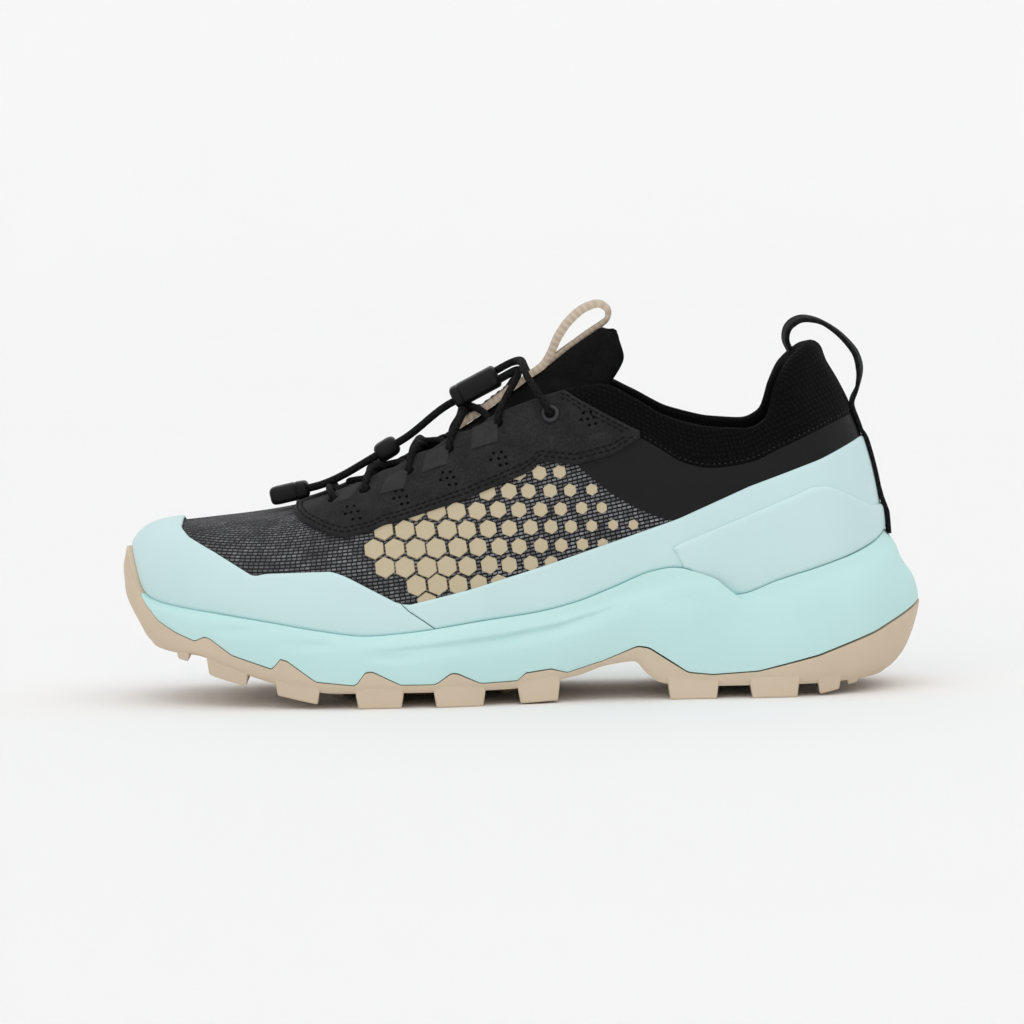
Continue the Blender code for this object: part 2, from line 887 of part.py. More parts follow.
def boolean(item, operation, other):
    modifier = item.modifiers.new(operation.lower(), "BOOLEAN")
    modifier.operation = operation
    modifier.solver = "EXACT"
    modifier.object = other


def add_sole(parts, cutters):
    body = sole_body()
    midsole = add_object("midsole", body, parts, "midsole")
    over = add_cutter("seam_over", seam_prism("seam_over", 1), cutters)
    boolean(midsole, "INTERSECT", over)
    outsole = add_object("outsole", body.copy(), parts)
    outsole.data.materials.clear()
    outsole.data.materials.append(make_material("outsole"))
    under = add_cutter("seam_under", seam_prism("seam_under", -1), cutters)
    boolean(outsole, "INTERSECT", under)
    lugs = add_cutter("tread_lugs", lug_mesh(), cutters)
    boolean(outsole, "UNION", lugs)


def add_insole(parts):
    base = plan_ring(UPPER_PLAN)
    plan = base - outward(base) * (WALL + INSOLE_CLEARANCE)
    low = footbed(plan[:, 0])
    rings = [with_height(plan, low), with_height(plan, low + INSOLE_THICKNESS)]
    add_object("insole", mesh_of("insole", *ring_solid(rings)), parts, "insole")


def add_upper(parts):
    levels = np.linspace(0.0, 1.0, WALL_ROWS + 1)
    grid = np.stack([wall_ring(np.full(COLUMNS, level), 0.0) for level in levels], axis=1)
    add_sheet("upper", grid, WALL, -1, parts, closed=True)


def column_near(share):
    """Whole number of the lateral column at a share of the way to the heel."""
    return int(np.argmin(np.abs(SIDE_SHARES - share)))


def add_overlays(parts):
    split = column_near(RAND_SPLIT)
    toe = patch(list(range(-split, split + 1)), rand_foot, rand_edge, TOE_ROWS, TOE_LIFT,
                slant=RAND_SLANT)
    add_sheet("toe_rand", toe, RAND_THICKNESS, 1, parts)
    rear = [split + RAND_SEAM] + list(range(split + 1, COLUMNS - split)) + [COLUMNS - split - RAND_SEAM]
    heel = patch(rear, rand_foot, rand_edge, HEEL_ROWS, GAP, slant=-RAND_SLANT)
    add_sheet("heel_rand", heel, RAND_THICKNESS, 1, parts)
    start = column_near(COUNTER_START)
    over_rand = 2 * GAP + RAND_THICKNESS
    counter = patch(list(range(start, COLUMNS - start + 1)), counter_foot, counter_edge, COUNTER_ROWS,
                    over_rand)
    add_sheet("heel_counter", counter, COUNTER_THICKNESS, 1, parts)
    end = column_near(EYESTAY_END)
    stay = patch(list(range(-end, end + 1)), eyestay_low, eyestay_rear, EYESTAY_ROWS, EYESTAY_LIFT,
                 limit=EYESTAY_TOP)
    add_sheet("eyestay", stay, EYESTAY_THICKNESS, 1, parts)


def through(points, count):
    """Points at even distances along a smooth curve through the given points."""
    points = np.asarray(points, float)
    reach = np.concatenate([[0.0], np.cumsum(np.linalg.norm(np.diff(points, axis=0), axis=1))])
    lines = [smooth_knots(reach, points[:, axis]) for axis in range(points.shape[1])]
    fine = np.linspace(0.0, reach[-1], CURVE_STEPS)
    dense = np.stack([line(fine) for line in lines], axis=1)
    steps = np.linalg.norm(np.diff(dense, axis=0), axis=1)
    lengths = np.concatenate([[0.0], np.cumsum(steps)])
    wanted = np.linspace(0.0, lengths[-1], count)
    return np.stack([np.interp(wanted, lengths, column) for column in dense.T], axis=1)


def smooth_knots(places, values):
    """Return a flowing curve through the knots, which may swing past them a little."""
    slopes = np.gradient(values, places)

    def value(place):
        i = np.clip(np.searchsorted(places, place) - 1, 0, len(places) - 2)
        step = places[i + 1] - places[i]
        t = (place - places[i]) / step
        near = values[i] * (1 + 2 * t) + slopes[i] * step * t
        far = values[i + 1] * (3 - 2 * t) - slopes[i + 1] * step * (1 - t)
        return near * (1 - t) ** 2 + far * t ** 2

    return value


def throat_column(share):
    """Column, perhaps between two, at a share of the way from toe to heel."""
    return float(np.interp(share, SIDE_SHARES, np.arange(SIDE_COLUMNS + 1)))


def tongue_sections():
    """Sections of the tongue from its tip to its free top, each a row of points across."""
    depth = -(WALL + TONGUE_CLEARANCE)
    sections = []
    for share, s, z in zip(*TONGUE_RIDGE.values()):
        column = throat_column(share)
        under = wall_point(column, TONGUE_UNDERLAP, depth)
        edge = wall_point(column, 1.0, depth)
        under_far = wall_point(COLUMNS - column, TONGUE_UNDERLAP, depth)
        edge_far = wall_point(COLUMNS - column, 1.0, depth)
        sections.append([under, edge, (s, 0.0, z), edge_far, under_far])
    for row in zip(*TONGUE_FREE.values()):
        ridge_s, ridge_z, shoulder_s, shoulder_y, shoulder_z, edge_s, edge_y, edge_z = row
        sections.append([(edge_s, -edge_y, edge_z), (shoulder_s, -shoulder_y, shoulder_z),
                         (ridge_s, 0.0, ridge_z),
                         (shoulder_s, shoulder_y, shoulder_z), (edge_s, edge_y, edge_z)])
    return np.array([through(section, TONGUE_ACROSS) for section in sections])


def add_tongue(parts):
    """Add the tongue, whose grid faces down into the shoe, and return the points of its ridge."""
    sections = tongue_sections()
    grid = sections.transpose(1, 0, 2)
    add_sheet("tongue", grid, TONGUE_THICKNESS, 1, parts)
    return sections[:, TONGUE_ACROSS // 2]


def strap_grid(path, width):
    """Flat strap across the middle plane of the shoe, along a path of (s, z) points."""
    sides = (width / 2, 0.0, -width / 2)
    return np.array([[(s, y, z) for s, z in path] for y in sides])


def add_loops(parts, ridge):
    heel_offset = 3 * GAP + RAND_THICKNESS + COUNTER_THICKNESS
    levels = np.linspace(HEEL_TAPE_START, HEEL_TAPE_END, HEEL_TAPE_POINTS)
    tape = [wall_point(SIDE_COLUMNS, level, heel_offset)[[0, 2]] for level in levels]
    heel_path = through(np.concatenate([np.array(HEEL_LOOP), np.array(tape)]), HEEL_STRAP_STEPS)
    add_sheet("heel_loop", strap_grid(heel_path, LOOP_WIDTH), LOOP_THICKNESS, 1, parts)
    along = np.gradient(ridge[:, [0, 2]], axis=0)
    normal = np.stack([-along[:, 1], along[:, 0]], axis=1)
    normal /= np.linalg.norm(normal, axis=1, keepdims=True)
    laid = (ridge[:, [0, 2]] + normal * GAP)[TAPE_ROWS]
    tongue_path = through(np.concatenate([laid, np.array(TONGUE_LOOP)]), TONGUE_STRAP_STEPS)
    add_sheet("tongue_loop", strap_grid(tongue_path, TONGUE_TAPE_WIDTH), LOOP_THICKNESS, 1, parts)


def wall_spot(s, z, medial):
    """Column and level high on the wall that lie nearest to a side-view place."""
    best = (math.inf, 0.0, 0.0)
    levels = np.linspace(HOLE_LEVEL, 1.0, FINE_STEPS)
    for column in np.arange(HOLE_MARGIN, SIDE_COLUMNS - HOLE_MARGIN, HOLE_STEP):
        around = COLUMNS - column if medial else column
        first = UPPER[math.floor(around) % COLUMNS]
        second = UPPER[(math.floor(around) + 1) % COLUMNS]
        part = around - math.floor(around)
        strip = first * (1 - part) + second * part
        fine = np.linspace(0.0, 1.0, FINE_STEPS)
        off_s = np.interp(levels, fine, strip[:, 0]) - s
        off_z = np.interp(levels, fine, strip[:, 2]) - z
        distance = off_s ** 2 + off_z ** 2
        nearest = int(np.argmin(distance))
        if distance[nearest] < best[0]:
            best = (distance[nearest], around, levels[nearest])
    return best[1], best[2]


def unit(vector):
    return np.asarray(vector, float) / np.linalg.norm(vector)


def block_axes(block):
    """Directions along and up from a tilted block on the lace."""
    tilt = math.radians(block["tilt"])
    along = np.array([math.cos(tilt), 0.0, math.sin(tilt)])
    return along, np.array([-math.sin(tilt), 0.0, math.cos(tilt)])


def cord_end(block, end, y, lift):
    """Two points of a cord that runs straight into a block's front (-1) or rear (1) face."""
    along, up = block_axes(block)
    face = np.array(block["place"]) + end * along * block["size"][0] / 2
    face = face + up * lift + np.array([0.0, y, 0.0])
    return [face + end * along * CORD_RUN, face + end * along * CORD_FACE]


class Throat:
    """Places of the lace over the throat, worked out from the wall and the tongue's ridge."""

    def __init__(self, ridge):
        self.ridge = ridge[:, [0, 2]]
        self.lift = EYESTAY_LIFT + EYESTAY_THICKNESS + LACE_CLEARANCE + LACE_DIAMETER / 2
        spots = list(zip(LACE_HOLES["s"], LACE_HOLES["z"]))
        self.holes = [[wall_spot(s, z, medial) for s, z in spots] for medial in (False, True)]

    def hole(self, index, medial, extra=0.0):
        column, level = self.holes[int(medial)][index]
        return wall_point(column, level, self.lift + extra)

    def turn(self, index, medial):
        """Two points that carry the cord round a lace hole without a sharp corner."""
        spot = self.hole(index, medial)
        along = unit(self.hole(min(index + 1, LAST_HOLE), medial) - self.hole(max(index - 1, 0), medial))
        return [spot - along * TURN_REACH, spot + along * TURN_REACH]

    def climb(self, index, s, medial):
        """Points over the eyestay from a lace hole up to the throat's edge at s."""
        column, level = self.holes[int(medial)][index]
        lateral = throat_column(float(np.interp(s, TOPLINE["s"], TOPLINE["share"])))
        edge = COLUMNS - lateral if medial else lateral
        lift = self.lift + CLIMB_LIFT
        return [wall_point(column + (edge - column) * t, level + (1 - level) * t, lift)
                for t in CLIMB_STEPS]

    def middle(self, s):
        """Point over the tongue's ridge at s, or over the tape that lies on it."""
        over = LACE_CLEARANCE + LACE_DIAMETER / 2
        if s > TAPE_FRONT:
            over += GAP + LOOP_THICKNESS + TAPE_CLEARANCE
        z = float(np.interp(s, self.ridge[:, 0], self.ridge[:, 1]))
        ahead = float(np.interp(s + 1, self.ridge[:, 0], self.ridge[:, 1])) - z
        normal = unit((-ahead, 0.0, 1.0))
        return np.array([s, 0.0, z]) + normal * over

    def zigzag(self, medial):
        """Route of one half of the lace, from its lowest hole up to the cord lock."""
        points = []
        for index in range(LAST_HOLE + 1):
            points += self.turn(index, medial)
            if index < LAST_HOLE:
                low, high = LACE_HOLES["s"][index:index + 2]
                points += self.climb(index, 0.75 * low + 0.25 * high, medial)
                points.append(self.middle((low + high) / 2))
                medial = not medial
                points += self.climb(index + 1, 0.25 * low + 0.75 * high, medial)[::-1]
        side = 1.0 if medial else -1.0
        points += self.climb(LAST_HOLE, LACE_HOLES["s"][LAST_HOLE] + LEAD_AHEAD, medial)
        return points + cord_end(LOCK, 1, side * LEAD_SPACING, -LEAD_DROP)

    def bar(self):
        """Route of the lowest run of lace, straight across the throat."""
        s = LACE_HOLES["s"][0]
        near = [self.hole(0, False)] + self.climb(0, s, False)
        far = [self.hole(0, True)] + self.climb(0, s, True)
        return near + [self.middle(s)] + far[::-1]

    def top_cord(self, medial):
        """Route from a top eyelet to the rear of the cord lock."""
        side = 1.0 if medial else -1.0
        start = self.hole(EYELET, medial, GAP + 2 * EYELET_TUBE)
        bend = self.climb(EYELET, TOP_BEND, medial)[-1] + np.array([0.0, 0.0, TOP_BEND_LIFT])
        return [start, bend] + cord_end(LOCK, 1, side * LEAD_SPACING / 3, LEAD_DROP)


def cord_object(name, route, collection):
    """Cord as a tube along a smooth curve through its route, with closed ends."""
    route = np.asarray(route, float)
    length = np.linalg.norm(np.diff(route, axis=0), axis=1).sum()
    points = place(through(route, max(5, round(length / CORD_STEP) + 1)))
    curve = bpy.data.curves.new(name, "CURVE")
    curve.dimensions = "3D"
    curve.bevel_depth = LACE_DIAMETER / 2 * MM
    curve.bevel_resolution = 2
    curve.use_fill_caps = True
    spline = curve.splines.new("POLY")
    spline.points.add(len(points) - 1)
    for knot, point in zip(spline.points, points):
        knot.co = (*point, 1.0)
    item = bpy.data.objects.new(name, curve)
    collection.objects.link(item)
    return item


def cord_mesh(name, route, collection):
    """The same tube as a closed mesh that can be joined to others."""
    item = cord_object(name, route, collection)
    graph = bpy.context.evaluated_depsgraph_get()
    mesh = bpy.data.meshes.new_from_object(item.evaluated_get(graph))
    bpy.data.objects.remove(item, do_unlink=True)
    work = bmesh.new()
    work.from_mesh(mesh)
    bmesh.ops.remove_doubles(work, verts=work.verts, dist=1e-6)
    work.to_mesh(mesh)
    work.free()
    return mesh


def add_block(name, block, collection):
    """Rounded plastic block on the lace."""
    mesh = bpy.data.meshes.new(name)
    work = bmesh.new()
    bmesh.ops.create_cube(work, size=1.0)
    bmesh.ops.scale(work, vec=np.array(block["size"]) * MM, verts=work.verts)
    work.to_mesh(mesh)
    work.free()
    item = add_object(name, mesh, collection, name)
    item.location = place([block["place"]])[0]
    item.rotation_euler = (0.0, -math.radians(block["tilt"]), 0.0)
    bevel = item.modifiers.new("round", "BEVEL")
    bevel.width = BLOCK_ROUND * MM
    bevel.segments = 2


def add_eyelet(name, throat, medial, collection):
    """Ring that lines a top lace hole."""
    column, level = throat.holes[int(medial)][EYELET]
    lift = EYESTAY_LIFT + EYESTAY_THICKNESS + GAP + EYELET_TUBE
    centre = wall_point(column, level, lift)
    normal = unit(wall_point(column, level, lift + 1.0) - centre)
    bpy.ops.mesh.primitive_torus_add(
        major_radius=EYELET_RADIUS * MM, minor_radius=EYELET_TUBE * MM,
        major_segments=14, minor_segments=6)
    item = bpy.context.object
    item.name = name
    item.data.name = name
    item.data.materials.append(make_material(name))
    item.data.shade_smooth()
    item.location = place([centre])[0]
    item.rotation_euler = Vector(normal).to_track_quat("Z", "Y").to_euler()
    for owner in list(item.users_collection):
        owner.objects.unlink(item)
    collection.objects.link(item)


def add_lacing(parts, cutters, ridge):
    throat = Throat(ridge)
    lace = add_object("lace_crossings", cord_mesh("lace_first", throat.zigzag(False), parts), parts,
                      "lace_crossings")
    second = add_cutter("lace_second", cord_mesh("lace_second", throat.zigzag(True), cutters), cutters)
    boolean(lace, "UNION", second)
    bar = add_cutter("lace_bar", cord_mesh("lace_bar", throat.bar(), cutters), cutters)
    boolean(lace, "UNION", bar)
    for name, block in (("cord_lock", LOCK), ("lace_keeper", KEEPER), ("lace_end_clip", CLIP)):
        add_block(name, block, parts)
    for name, medial in (("lateral", False), ("medial", True)):
        side = 1.0 if medial else -1.0
        add_eyelet("eyelet_" + name, throat, medial, parts)
        top = cord_object("lace_top_" + name, throat.top_cord(medial), parts)
        back = cord_object("lace_tail_back_" + name, tail_route(LOCK, KEEPER, side), parts)
        front = cord_object("lace_tail_front_" + name, tail_route(KEEPER, CLIP, side), parts)
        for cord in (top, back, front):
            cord.data.materials.append(make_material("lace_tail"))


def tail_route(upper_block, lower_block, side):
    """Route of a tail from the front of one block down to the rear of the next."""
    y = side * TAIL_SPACING
    leave = cord_end(upper_block, -1, y, 0.0)
    reach = cord_end(lower_block, 1, y, 0.0)
    return [leave[1], leave[0], reach[0], reach[1]]


def clear_scene():
    for item in list(bpy.data.objects):
        bpy.data.objects.remove(item, do_unlink=True)


def new_collection(name):
    collection = bpy.data.collections.new(name)
    bpy.context.scene.collection.children.link(collection)
    return collection


def main():
    clear_scene()
    parts = new_collection("hiking_shoe")
    cutters = new_collection("hiking_shoe_cutters")
    add_sole(parts, cutters)
    add_insole(parts)
    add_upper(parts)
    add_overlays(parts)
    ridge = add_tongue(parts)
    add_loops(parts, ridge)
    add_lacing(parts, cutters, ridge)


main()
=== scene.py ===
# %% [markdown]
# # A left hiking shoe
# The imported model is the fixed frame: one solid for each piece of the shoe, in metres, toe
# towards -X.  This lesson dresses every piece with the surface that the real material has.

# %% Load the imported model
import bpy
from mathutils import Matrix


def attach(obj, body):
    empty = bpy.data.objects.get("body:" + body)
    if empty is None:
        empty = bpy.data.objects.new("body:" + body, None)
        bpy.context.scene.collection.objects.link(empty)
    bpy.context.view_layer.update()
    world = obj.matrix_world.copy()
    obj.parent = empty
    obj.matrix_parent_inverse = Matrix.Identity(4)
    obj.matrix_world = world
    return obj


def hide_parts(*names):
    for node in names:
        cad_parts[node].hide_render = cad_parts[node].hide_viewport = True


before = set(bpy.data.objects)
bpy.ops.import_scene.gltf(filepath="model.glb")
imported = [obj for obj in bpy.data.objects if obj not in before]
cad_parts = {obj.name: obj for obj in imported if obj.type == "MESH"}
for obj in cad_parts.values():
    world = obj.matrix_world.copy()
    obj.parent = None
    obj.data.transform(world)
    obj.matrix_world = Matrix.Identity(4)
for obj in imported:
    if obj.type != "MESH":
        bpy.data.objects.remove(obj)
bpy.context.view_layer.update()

import math

import bmesh
import bpy
import numpy as np
from mathutils import Matrix, Vector

print("nodes in the frame:", len(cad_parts))

# %% [markdown]
# ## The shoe's own sizes
# Places on the shoe are millimetres: s from the toe tip to the heel, y negative on the lateral
# side, z over the floor.  The solids were drawn from short tables of a last, so the dressed
# pieces read the same tables at a finer step and lie on the solids they stand for, apart from
# soft edges and a few small details.

# %% Sizes and a table reader
MM = 0.001
LENGTH = 280.0
WALL = 2.0
GAP = 0.3


def table(columns, text):
    """Read a small table of numbers into named columns."""
    rows = [[float(word) for word in line.split()] for line in text.strip().splitlines()]
    return dict(zip(columns.split(), np.array(rows).T))


SOLE_PLAN = table("s lateral medial", """
      0   -6.0    6.0
      4   10.0   20.0
     12   24.0   31.0
     30   37.0   40.5
     60   46.5   46.0
     85   50.5   47.0
    110   50.5   45.0
    140   45.5   39.0
    170   40.5   35.5
    200   39.5   36.5
    230   40.0   39.0
    255   36.0   36.0
    272   23.0   23.0
    280    0.0    0.0
""")
UPPER_PLAN = table("s lateral medial", """
      7   -7.0    7.0
     11    7.0   18.5
     20   19.5   27.5
     35   30.0   34.0
     60   39.0   38.5
     85   43.0   39.5
    110   43.0   37.5
    140   38.5   31.5
    170   33.0   27.5
    200   30.5   28.0
    230   30.0   29.5
    250   26.5   26.5
    261   16.0   16.0
    266    0.0    0.0
""")
FOOTBED = table("s z", """
      7  27.0
     15  24.0
     30  20.5
     60  17.5
     90  17.0
    130  19.0
    170  23.0
    210  26.5
    250  28.5
    266  29.0
""")
TOPLINE = table("share s reach z", """
    0.00   66.0   0.0   67.0
    0.06   66.4   3.5   67.2
    0.12   68.0   6.5   68.0
    0.20   72.5   9.5   70.0
    0.30   85.0  12.5   75.2
    0.40  108.0  15.5   86.2
    0.50  138.0  19.0  101.0
    0.56  160.0  22.5  108.5
    0.59  170.0  24.5  110.0
    0.62  180.0  27.0  105.5
    0.66  193.0  29.5   98.0
    0.71  207.0  31.0   94.3
    0.77  219.0  30.5   93.8
    0.82  226.0  29.0   97.0
    0.86  229.5  26.5  107.0
    0.91  233.5  20.5  115.5
    0.96  239.0  10.5  120.5
    1.00  241.0   0.0  121.5
""")
WALL_FORM = table("share square swell climb", """
    0.00   9.0   4.5   4.2
    0.08   7.5   4.2   4.8
    0.16   5.5   3.6   6.0
    0.25   3.6   3.0   8.5
    0.35   2.4   3.0   7.5
    0.45   1.8   3.2   2.5
    0.55   1.6   3.5   0.0
    0.65   1.5   3.6   0.0
    0.75   1.5   3.6   0.0
    0.85   1.5   3.8   0.0
    1.00   1.6   3.6   0.0
""")
# The gain along the top comes late, so that the toe box stays flat before the throat.
CLIMB_BEND = 2.0
SOLE_RIM = table("s z", """
      0  54.5
      4  54.0
      6  48.5
      9  39.5
     12  37.0
     19  35.2
     34  33.0
     53  30.0
     70  27.0
     87  25.0
     98  25.6
    127  29.4
    145  31.6
    159  34.7
    172  39.4
    187  45.0
    193  45.8
    198  45.2
    203  40.8
    209  36.4
    215  35.9
    230  40.8
    247  46.0
    262  51.8
    268  55.5
    280  55.5
""")
print("sole", LENGTH, "mm long; upper's top edge up to", TOPLINE["z"].max(), "mm")

# %% [markdown]
# ## The last
# A shoe is pulled over a last, so its upper is one smooth skin.  The skin could be sculpted, but
# a loft is exact: a ring of columns goes round the foot, and each column climbs from the footbed
# to the top edge on a superellipse.  Everything sewn or glued to the upper is found on this
# skin by its column, its level (0 at the footbed, 1 at the top edge) and its height above it.

# %% Smooth lines through a few points
def blend(start, start_slope, end, end_slope, t):
    """Cubic curve from a start to an end with the slopes given, at shares t of the step between."""
    near = start * (1 + 2 * t) + start_slope * t
    far = end * (3 - 2 * t) - end_slope * (1 - t)
    return near * (1 - t) ** 2 + far * t ** 2


def smooth_line(places, values):
    """Return a smooth function through the points that never overshoots between them."""
    places = np.asarray(places, float)
    values = np.asarray(values, float)
    steps = np.diff(places)
    slopes = np.diff(values) / steps
    tangents = np.zeros_like(values)
    tangents[0] = slopes[0]
    tangents[-1] = slopes[-1]
    for i in range(1, len(places) - 1):
        if slopes[i - 1] * slopes[i] > 0:
            before = 2 * steps[i] + steps[i - 1]
            after = steps[i] + 2 * steps[i - 1]
            tangents[i] = (before + after) / (before / slopes[i - 1] + after / slopes[i])

    def value(place):
        place = np.clip(place, places[0], places[-1])
        i = np.clip(np.searchsorted(places, place) - 1, 0, len(steps) - 1)
        t = (place - places[i]) / steps[i]
        return blend(values[i], tangents[i] * steps[i], values[i + 1], tangents[i + 1] * steps[i], t)

    return value


def side_line(rows, smooth=False):
    """Height as a function of s, straight or smooth from row to row of an s and z table."""
    if smooth:
        return smooth_line(rows["s"], rows["z"])
    return lambda place: np.interp(place, rows["s"], rows["z"])


footbed = side_line(FOOTBED, smooth=True)
sole_rim = side_line(SOLE_RIM, smooth=True)
AXIS_SHIFT = (SOLE_PLAN["lateral"].max() - SOLE_PLAN["medial"].max()) / 2
print("the axis lies", AXIS_SHIFT, "mm from the middle of the width")

# %% Columns round the foot and the skin of the upper
SIDE_COLUMNS = 160
FINE_STEPS = 161
SIDE_SHARES = np.linspace(0.0, 1.0, SIDE_COLUMNS + 1)
SHARES = np.concatenate([SIDE_SHARES, SIDE_SHARES[-2:0:-1]])
COLUMNS = len(SHARES)
ON_MEDIAL = np.arange(COLUMNS) > SIDE_COLUMNS


def plan_ring(plan, shares=SHARES, medial_side=ON_MEDIAL):
    """Points of a closed plan outline at every column of a ring."""
    start = plan["s"][0]
    span = plan["s"][-1] - start
    share = np.arccos(1 - 2 * (plan["s"] - start) / span) / math.pi
    lateral = smooth_line(share, -plan["lateral"])(shares)
    medial = smooth_line(share, plan["medial"])(shares)
    s = start + span * (1 - np.cos(math.pi * shares)) / 2
    return np.stack([s, np.where(medial_side, medial, lateral)], axis=1)


def unit(vectors):
    """The same directions, each one long."""
    return vectors / np.linalg.norm(vectors, axis=-1, keepdims=True)


def outward(ring):
    """Unit directions that point out of a plan ring, in its own plane."""
    along = np.roll(ring, -1, axis=0) - np.roll(ring, 1, axis=0)
    return unit(np.stack([along[:, 1], -along[:, 0]], axis=1))


def way_along(points, axis=0):
    """Way from the first point to each point of a path or grid, along one of its axes."""
    first = np.take(points, [0], axis=axis)
    return np.cumsum(np.linalg.norm(np.diff(points, axis=axis, prepend=first), axis=-1), axis=axis)


def even_steps(points, count):
    """Read a path of points again at even distances along it."""
    reach = way_along(points)
    wanted = np.linspace(0.0, reach[-1], count)
    return np.stack([np.interp(wanted, reach, line) for line in points.T], axis=1)


def by_share(rows, column, shares=SHARES):
    """Values of a table's column at shares of the way from toe to heel."""
    return smooth_line(rows["share"], rows[column])(shares)


def upper_skin():
    """Skin of the upper as fine columns of points from the footbed to the top edge."""
    base = plan_ring(UPPER_PLAN)
    side = np.where(ON_MEDIAL, 1.0, -1.0)
    top = np.stack([by_share(TOPLINE, "s"), side * by_share(TOPLINE, "reach")], axis=1)
    base_z = footbed(base[:, 0])
    height = by_share(TOPLINE, "z") - base_z
    power = 2 / by_share(WALL_FORM, "square")[:, None]
    climb = by_share(WALL_FORM, "climb")[:, None]
    turn = np.linspace(0.0, math.pi / 2, 4 * FINE_STEPS)[None, :]
    inward = 1 - np.clip(np.cos(turn), 0.0, 1.0) ** power
    rise = np.sin(turn) ** power
    bulge = by_share(WALL_FORM, "swell")[:, None] * np.sin(math.pi * rise)
    plan = base[:, None] + (top - base)[:, None] * inward[..., None]
    plan = plan + outward(base)[:, None] * bulge[..., None]
    z = base_z[:, None] + (height[:, None] - climb) * rise + climb * inward ** CLIMB_BEND
    raw = np.concatenate([plan, z[..., None]], axis=2)
    return np.array([even_steps(column, FINE_STEPS) for column in raw])


def skin_normals(skin):
    """Unit directions out of the skin at each of its points."""
    around = np.roll(skin, -1, axis=0) - np.roll(skin, 1, axis=0)
    return unit(np.cross(around, np.gradient(skin, axis=1)))


SKIN = upper_skin()
NORMALS = skin_normals(SKIN)
print("skin of", COLUMNS, "columns,", FINE_STEPS, "levels")

# %% Places on the skin
def on_skin(column, level, lift=0.0):
    """Points by column (also between two), level from 0 to 1 and lift in millimetres."""
    column, level, lift = np.broadcast_arrays(column, level, lift)
    first = np.floor(column).astype(int)
    part = column - first
    fine = level * (FINE_STEPS - 1)
    under = np.clip(np.floor(fine).astype(int), 0, FINE_STEPS - 2)
    over = fine - under
    total = 0.0
    for i, across in ((first % COLUMNS, 1 - part), ((first + 1) % COLUMNS, part)):
        for k, up in ((under, 1 - over), (under + 1, over)):
            total = total + (across * up)[..., None] * (SKIN[i, k] + lift[..., None] * NORMALS[i, k])
    return total


def ring_value(values, column):
    """Value at a column, perhaps between two, from one value for each column of the ring."""
    column = np.mod(column, COLUMNS)
    return np.interp(column, np.arange(COLUMNS + 1), np.append(values, values[0]))


def crossing_levels(line):
    """Level at which each column first climbs over a line drawn in side view."""
    over = SKIN[:, :, 2] - line(SKIN[:, :, 0])
    first = np.argmax(over > 0, axis=1)
    column = np.arange(COLUMNS)
    before = over[column, np.maximum(first - 1, 0)]
    step = np.where(first > 0, before / np.minimum(before - over[column, first], -1e-9), 0.0)
    level = np.where(first > 0, first - 1 + step, 0.0) / (FINE_STEPS - 1)
    return np.where((over > 0).any(axis=1), level, 1.0)


def column_at(share, medial=False):
    """Column at a share of the way from toe to heel, on the lateral or the medial side."""
    column = np.asarray(share, float) * SIDE_COLUMNS
    return COLUMNS - column if medial else column


COLUMN_LENGTH = np.linalg.norm(np.diff(SKIN, axis=1), axis=2).sum(axis=1)
middle_ring = SKIN[:, FINE_STEPS // 2]
steps_round = np.linalg.norm(np.roll(middle_ring, -1, axis=0) - middle_ring, axis=1)
AROUND = np.concatenate([[0.0], np.cumsum(steps_round)])


def flat_place(column, level):
    """Flat map of the skin in millimetres: way round from the toe, and way up the column."""
    column, level = np.broadcast_arrays(np.asarray(column, float), level)
    turns = np.floor(column / COLUMNS)
    around = np.interp(column - turns * COLUMNS, np.arange(COLUMNS + 1), AROUND) + turns * AROUND[-1]
    return np.stack([around, level * ring_value(COLUMN_LENGTH, column)], axis=-1)


print("way round the upper", round(AROUND[-1]), "mm")

# %% [markdown]
# ## From grids to meshes
# Every sheet of the shoe is a grid of points on the skin with a second grid under it.  Solidify
# could thicken a plain sheet, but two grids let an edge roll down softly as a cut film does, and
# each corner keeps a flat map in millimetres, so that weaves and grains have their real size.

# %% Grid, shell and object makers
def to_part(points):
    """Turn shoe places in millimetres into part coordinates in metres."""
    return (np.asarray(points, float) + np.array([-LENGTH / 2, AXIS_SHIFT, 0.0])) * MM


def grid_quads(columns, rows, closed):
    """Corners of a grid's faces: numbers of its points, and numbers in its flat map."""
    i, k = np.meshgrid(np.arange(columns if closed else columns - 1), np.arange(rows - 1), indexing="ij")
    i = i.ravel()
    k = k.ravel()
    corners = ((0, 0), (1, 0), (1, 1), (0, 1))
    points = np.stack([(i + a) % columns * rows + k + b for a, b in corners], axis=1)
    flat = np.stack([(i + a) * rows + k + b for a, b in corners], axis=1)
    return points, flat


def make_object(name, points, faces, flat, materials, slots=None, sharp=50.0):
    """Object from shoe places, faces, the flat place of every face corner, and materials."""
    mesh = bpy.data.meshes.new(name)
    mesh.from_pydata(to_part(points).tolist(), [], [list(map(int, face)) for face in faces])
    layer = mesh.uv_layers.new(name="flat")
    layer.data.foreach_set("uv", (np.asarray(flat, float) * MM).ravel())
    for material in materials:
        mesh.materials.append(material)
    if slots is not None:
        mesh.polygons.foreach_set("material_index", np.asarray(slots, np.int32))
    work = bmesh.new()
    work.from_mesh(mesh)
    bmesh.ops.recalc_face_normals(work, faces=work.faces)
    work.to_mesh(mesh)
    work.free()
    mesh.shade_smooth()
    mesh.set_sharp_from_angle(angle=math.radians(sharp))
    item = bpy.data.objects.new(name, mesh)
    bpy.context.scene.collection.objects.link(item)
    return item


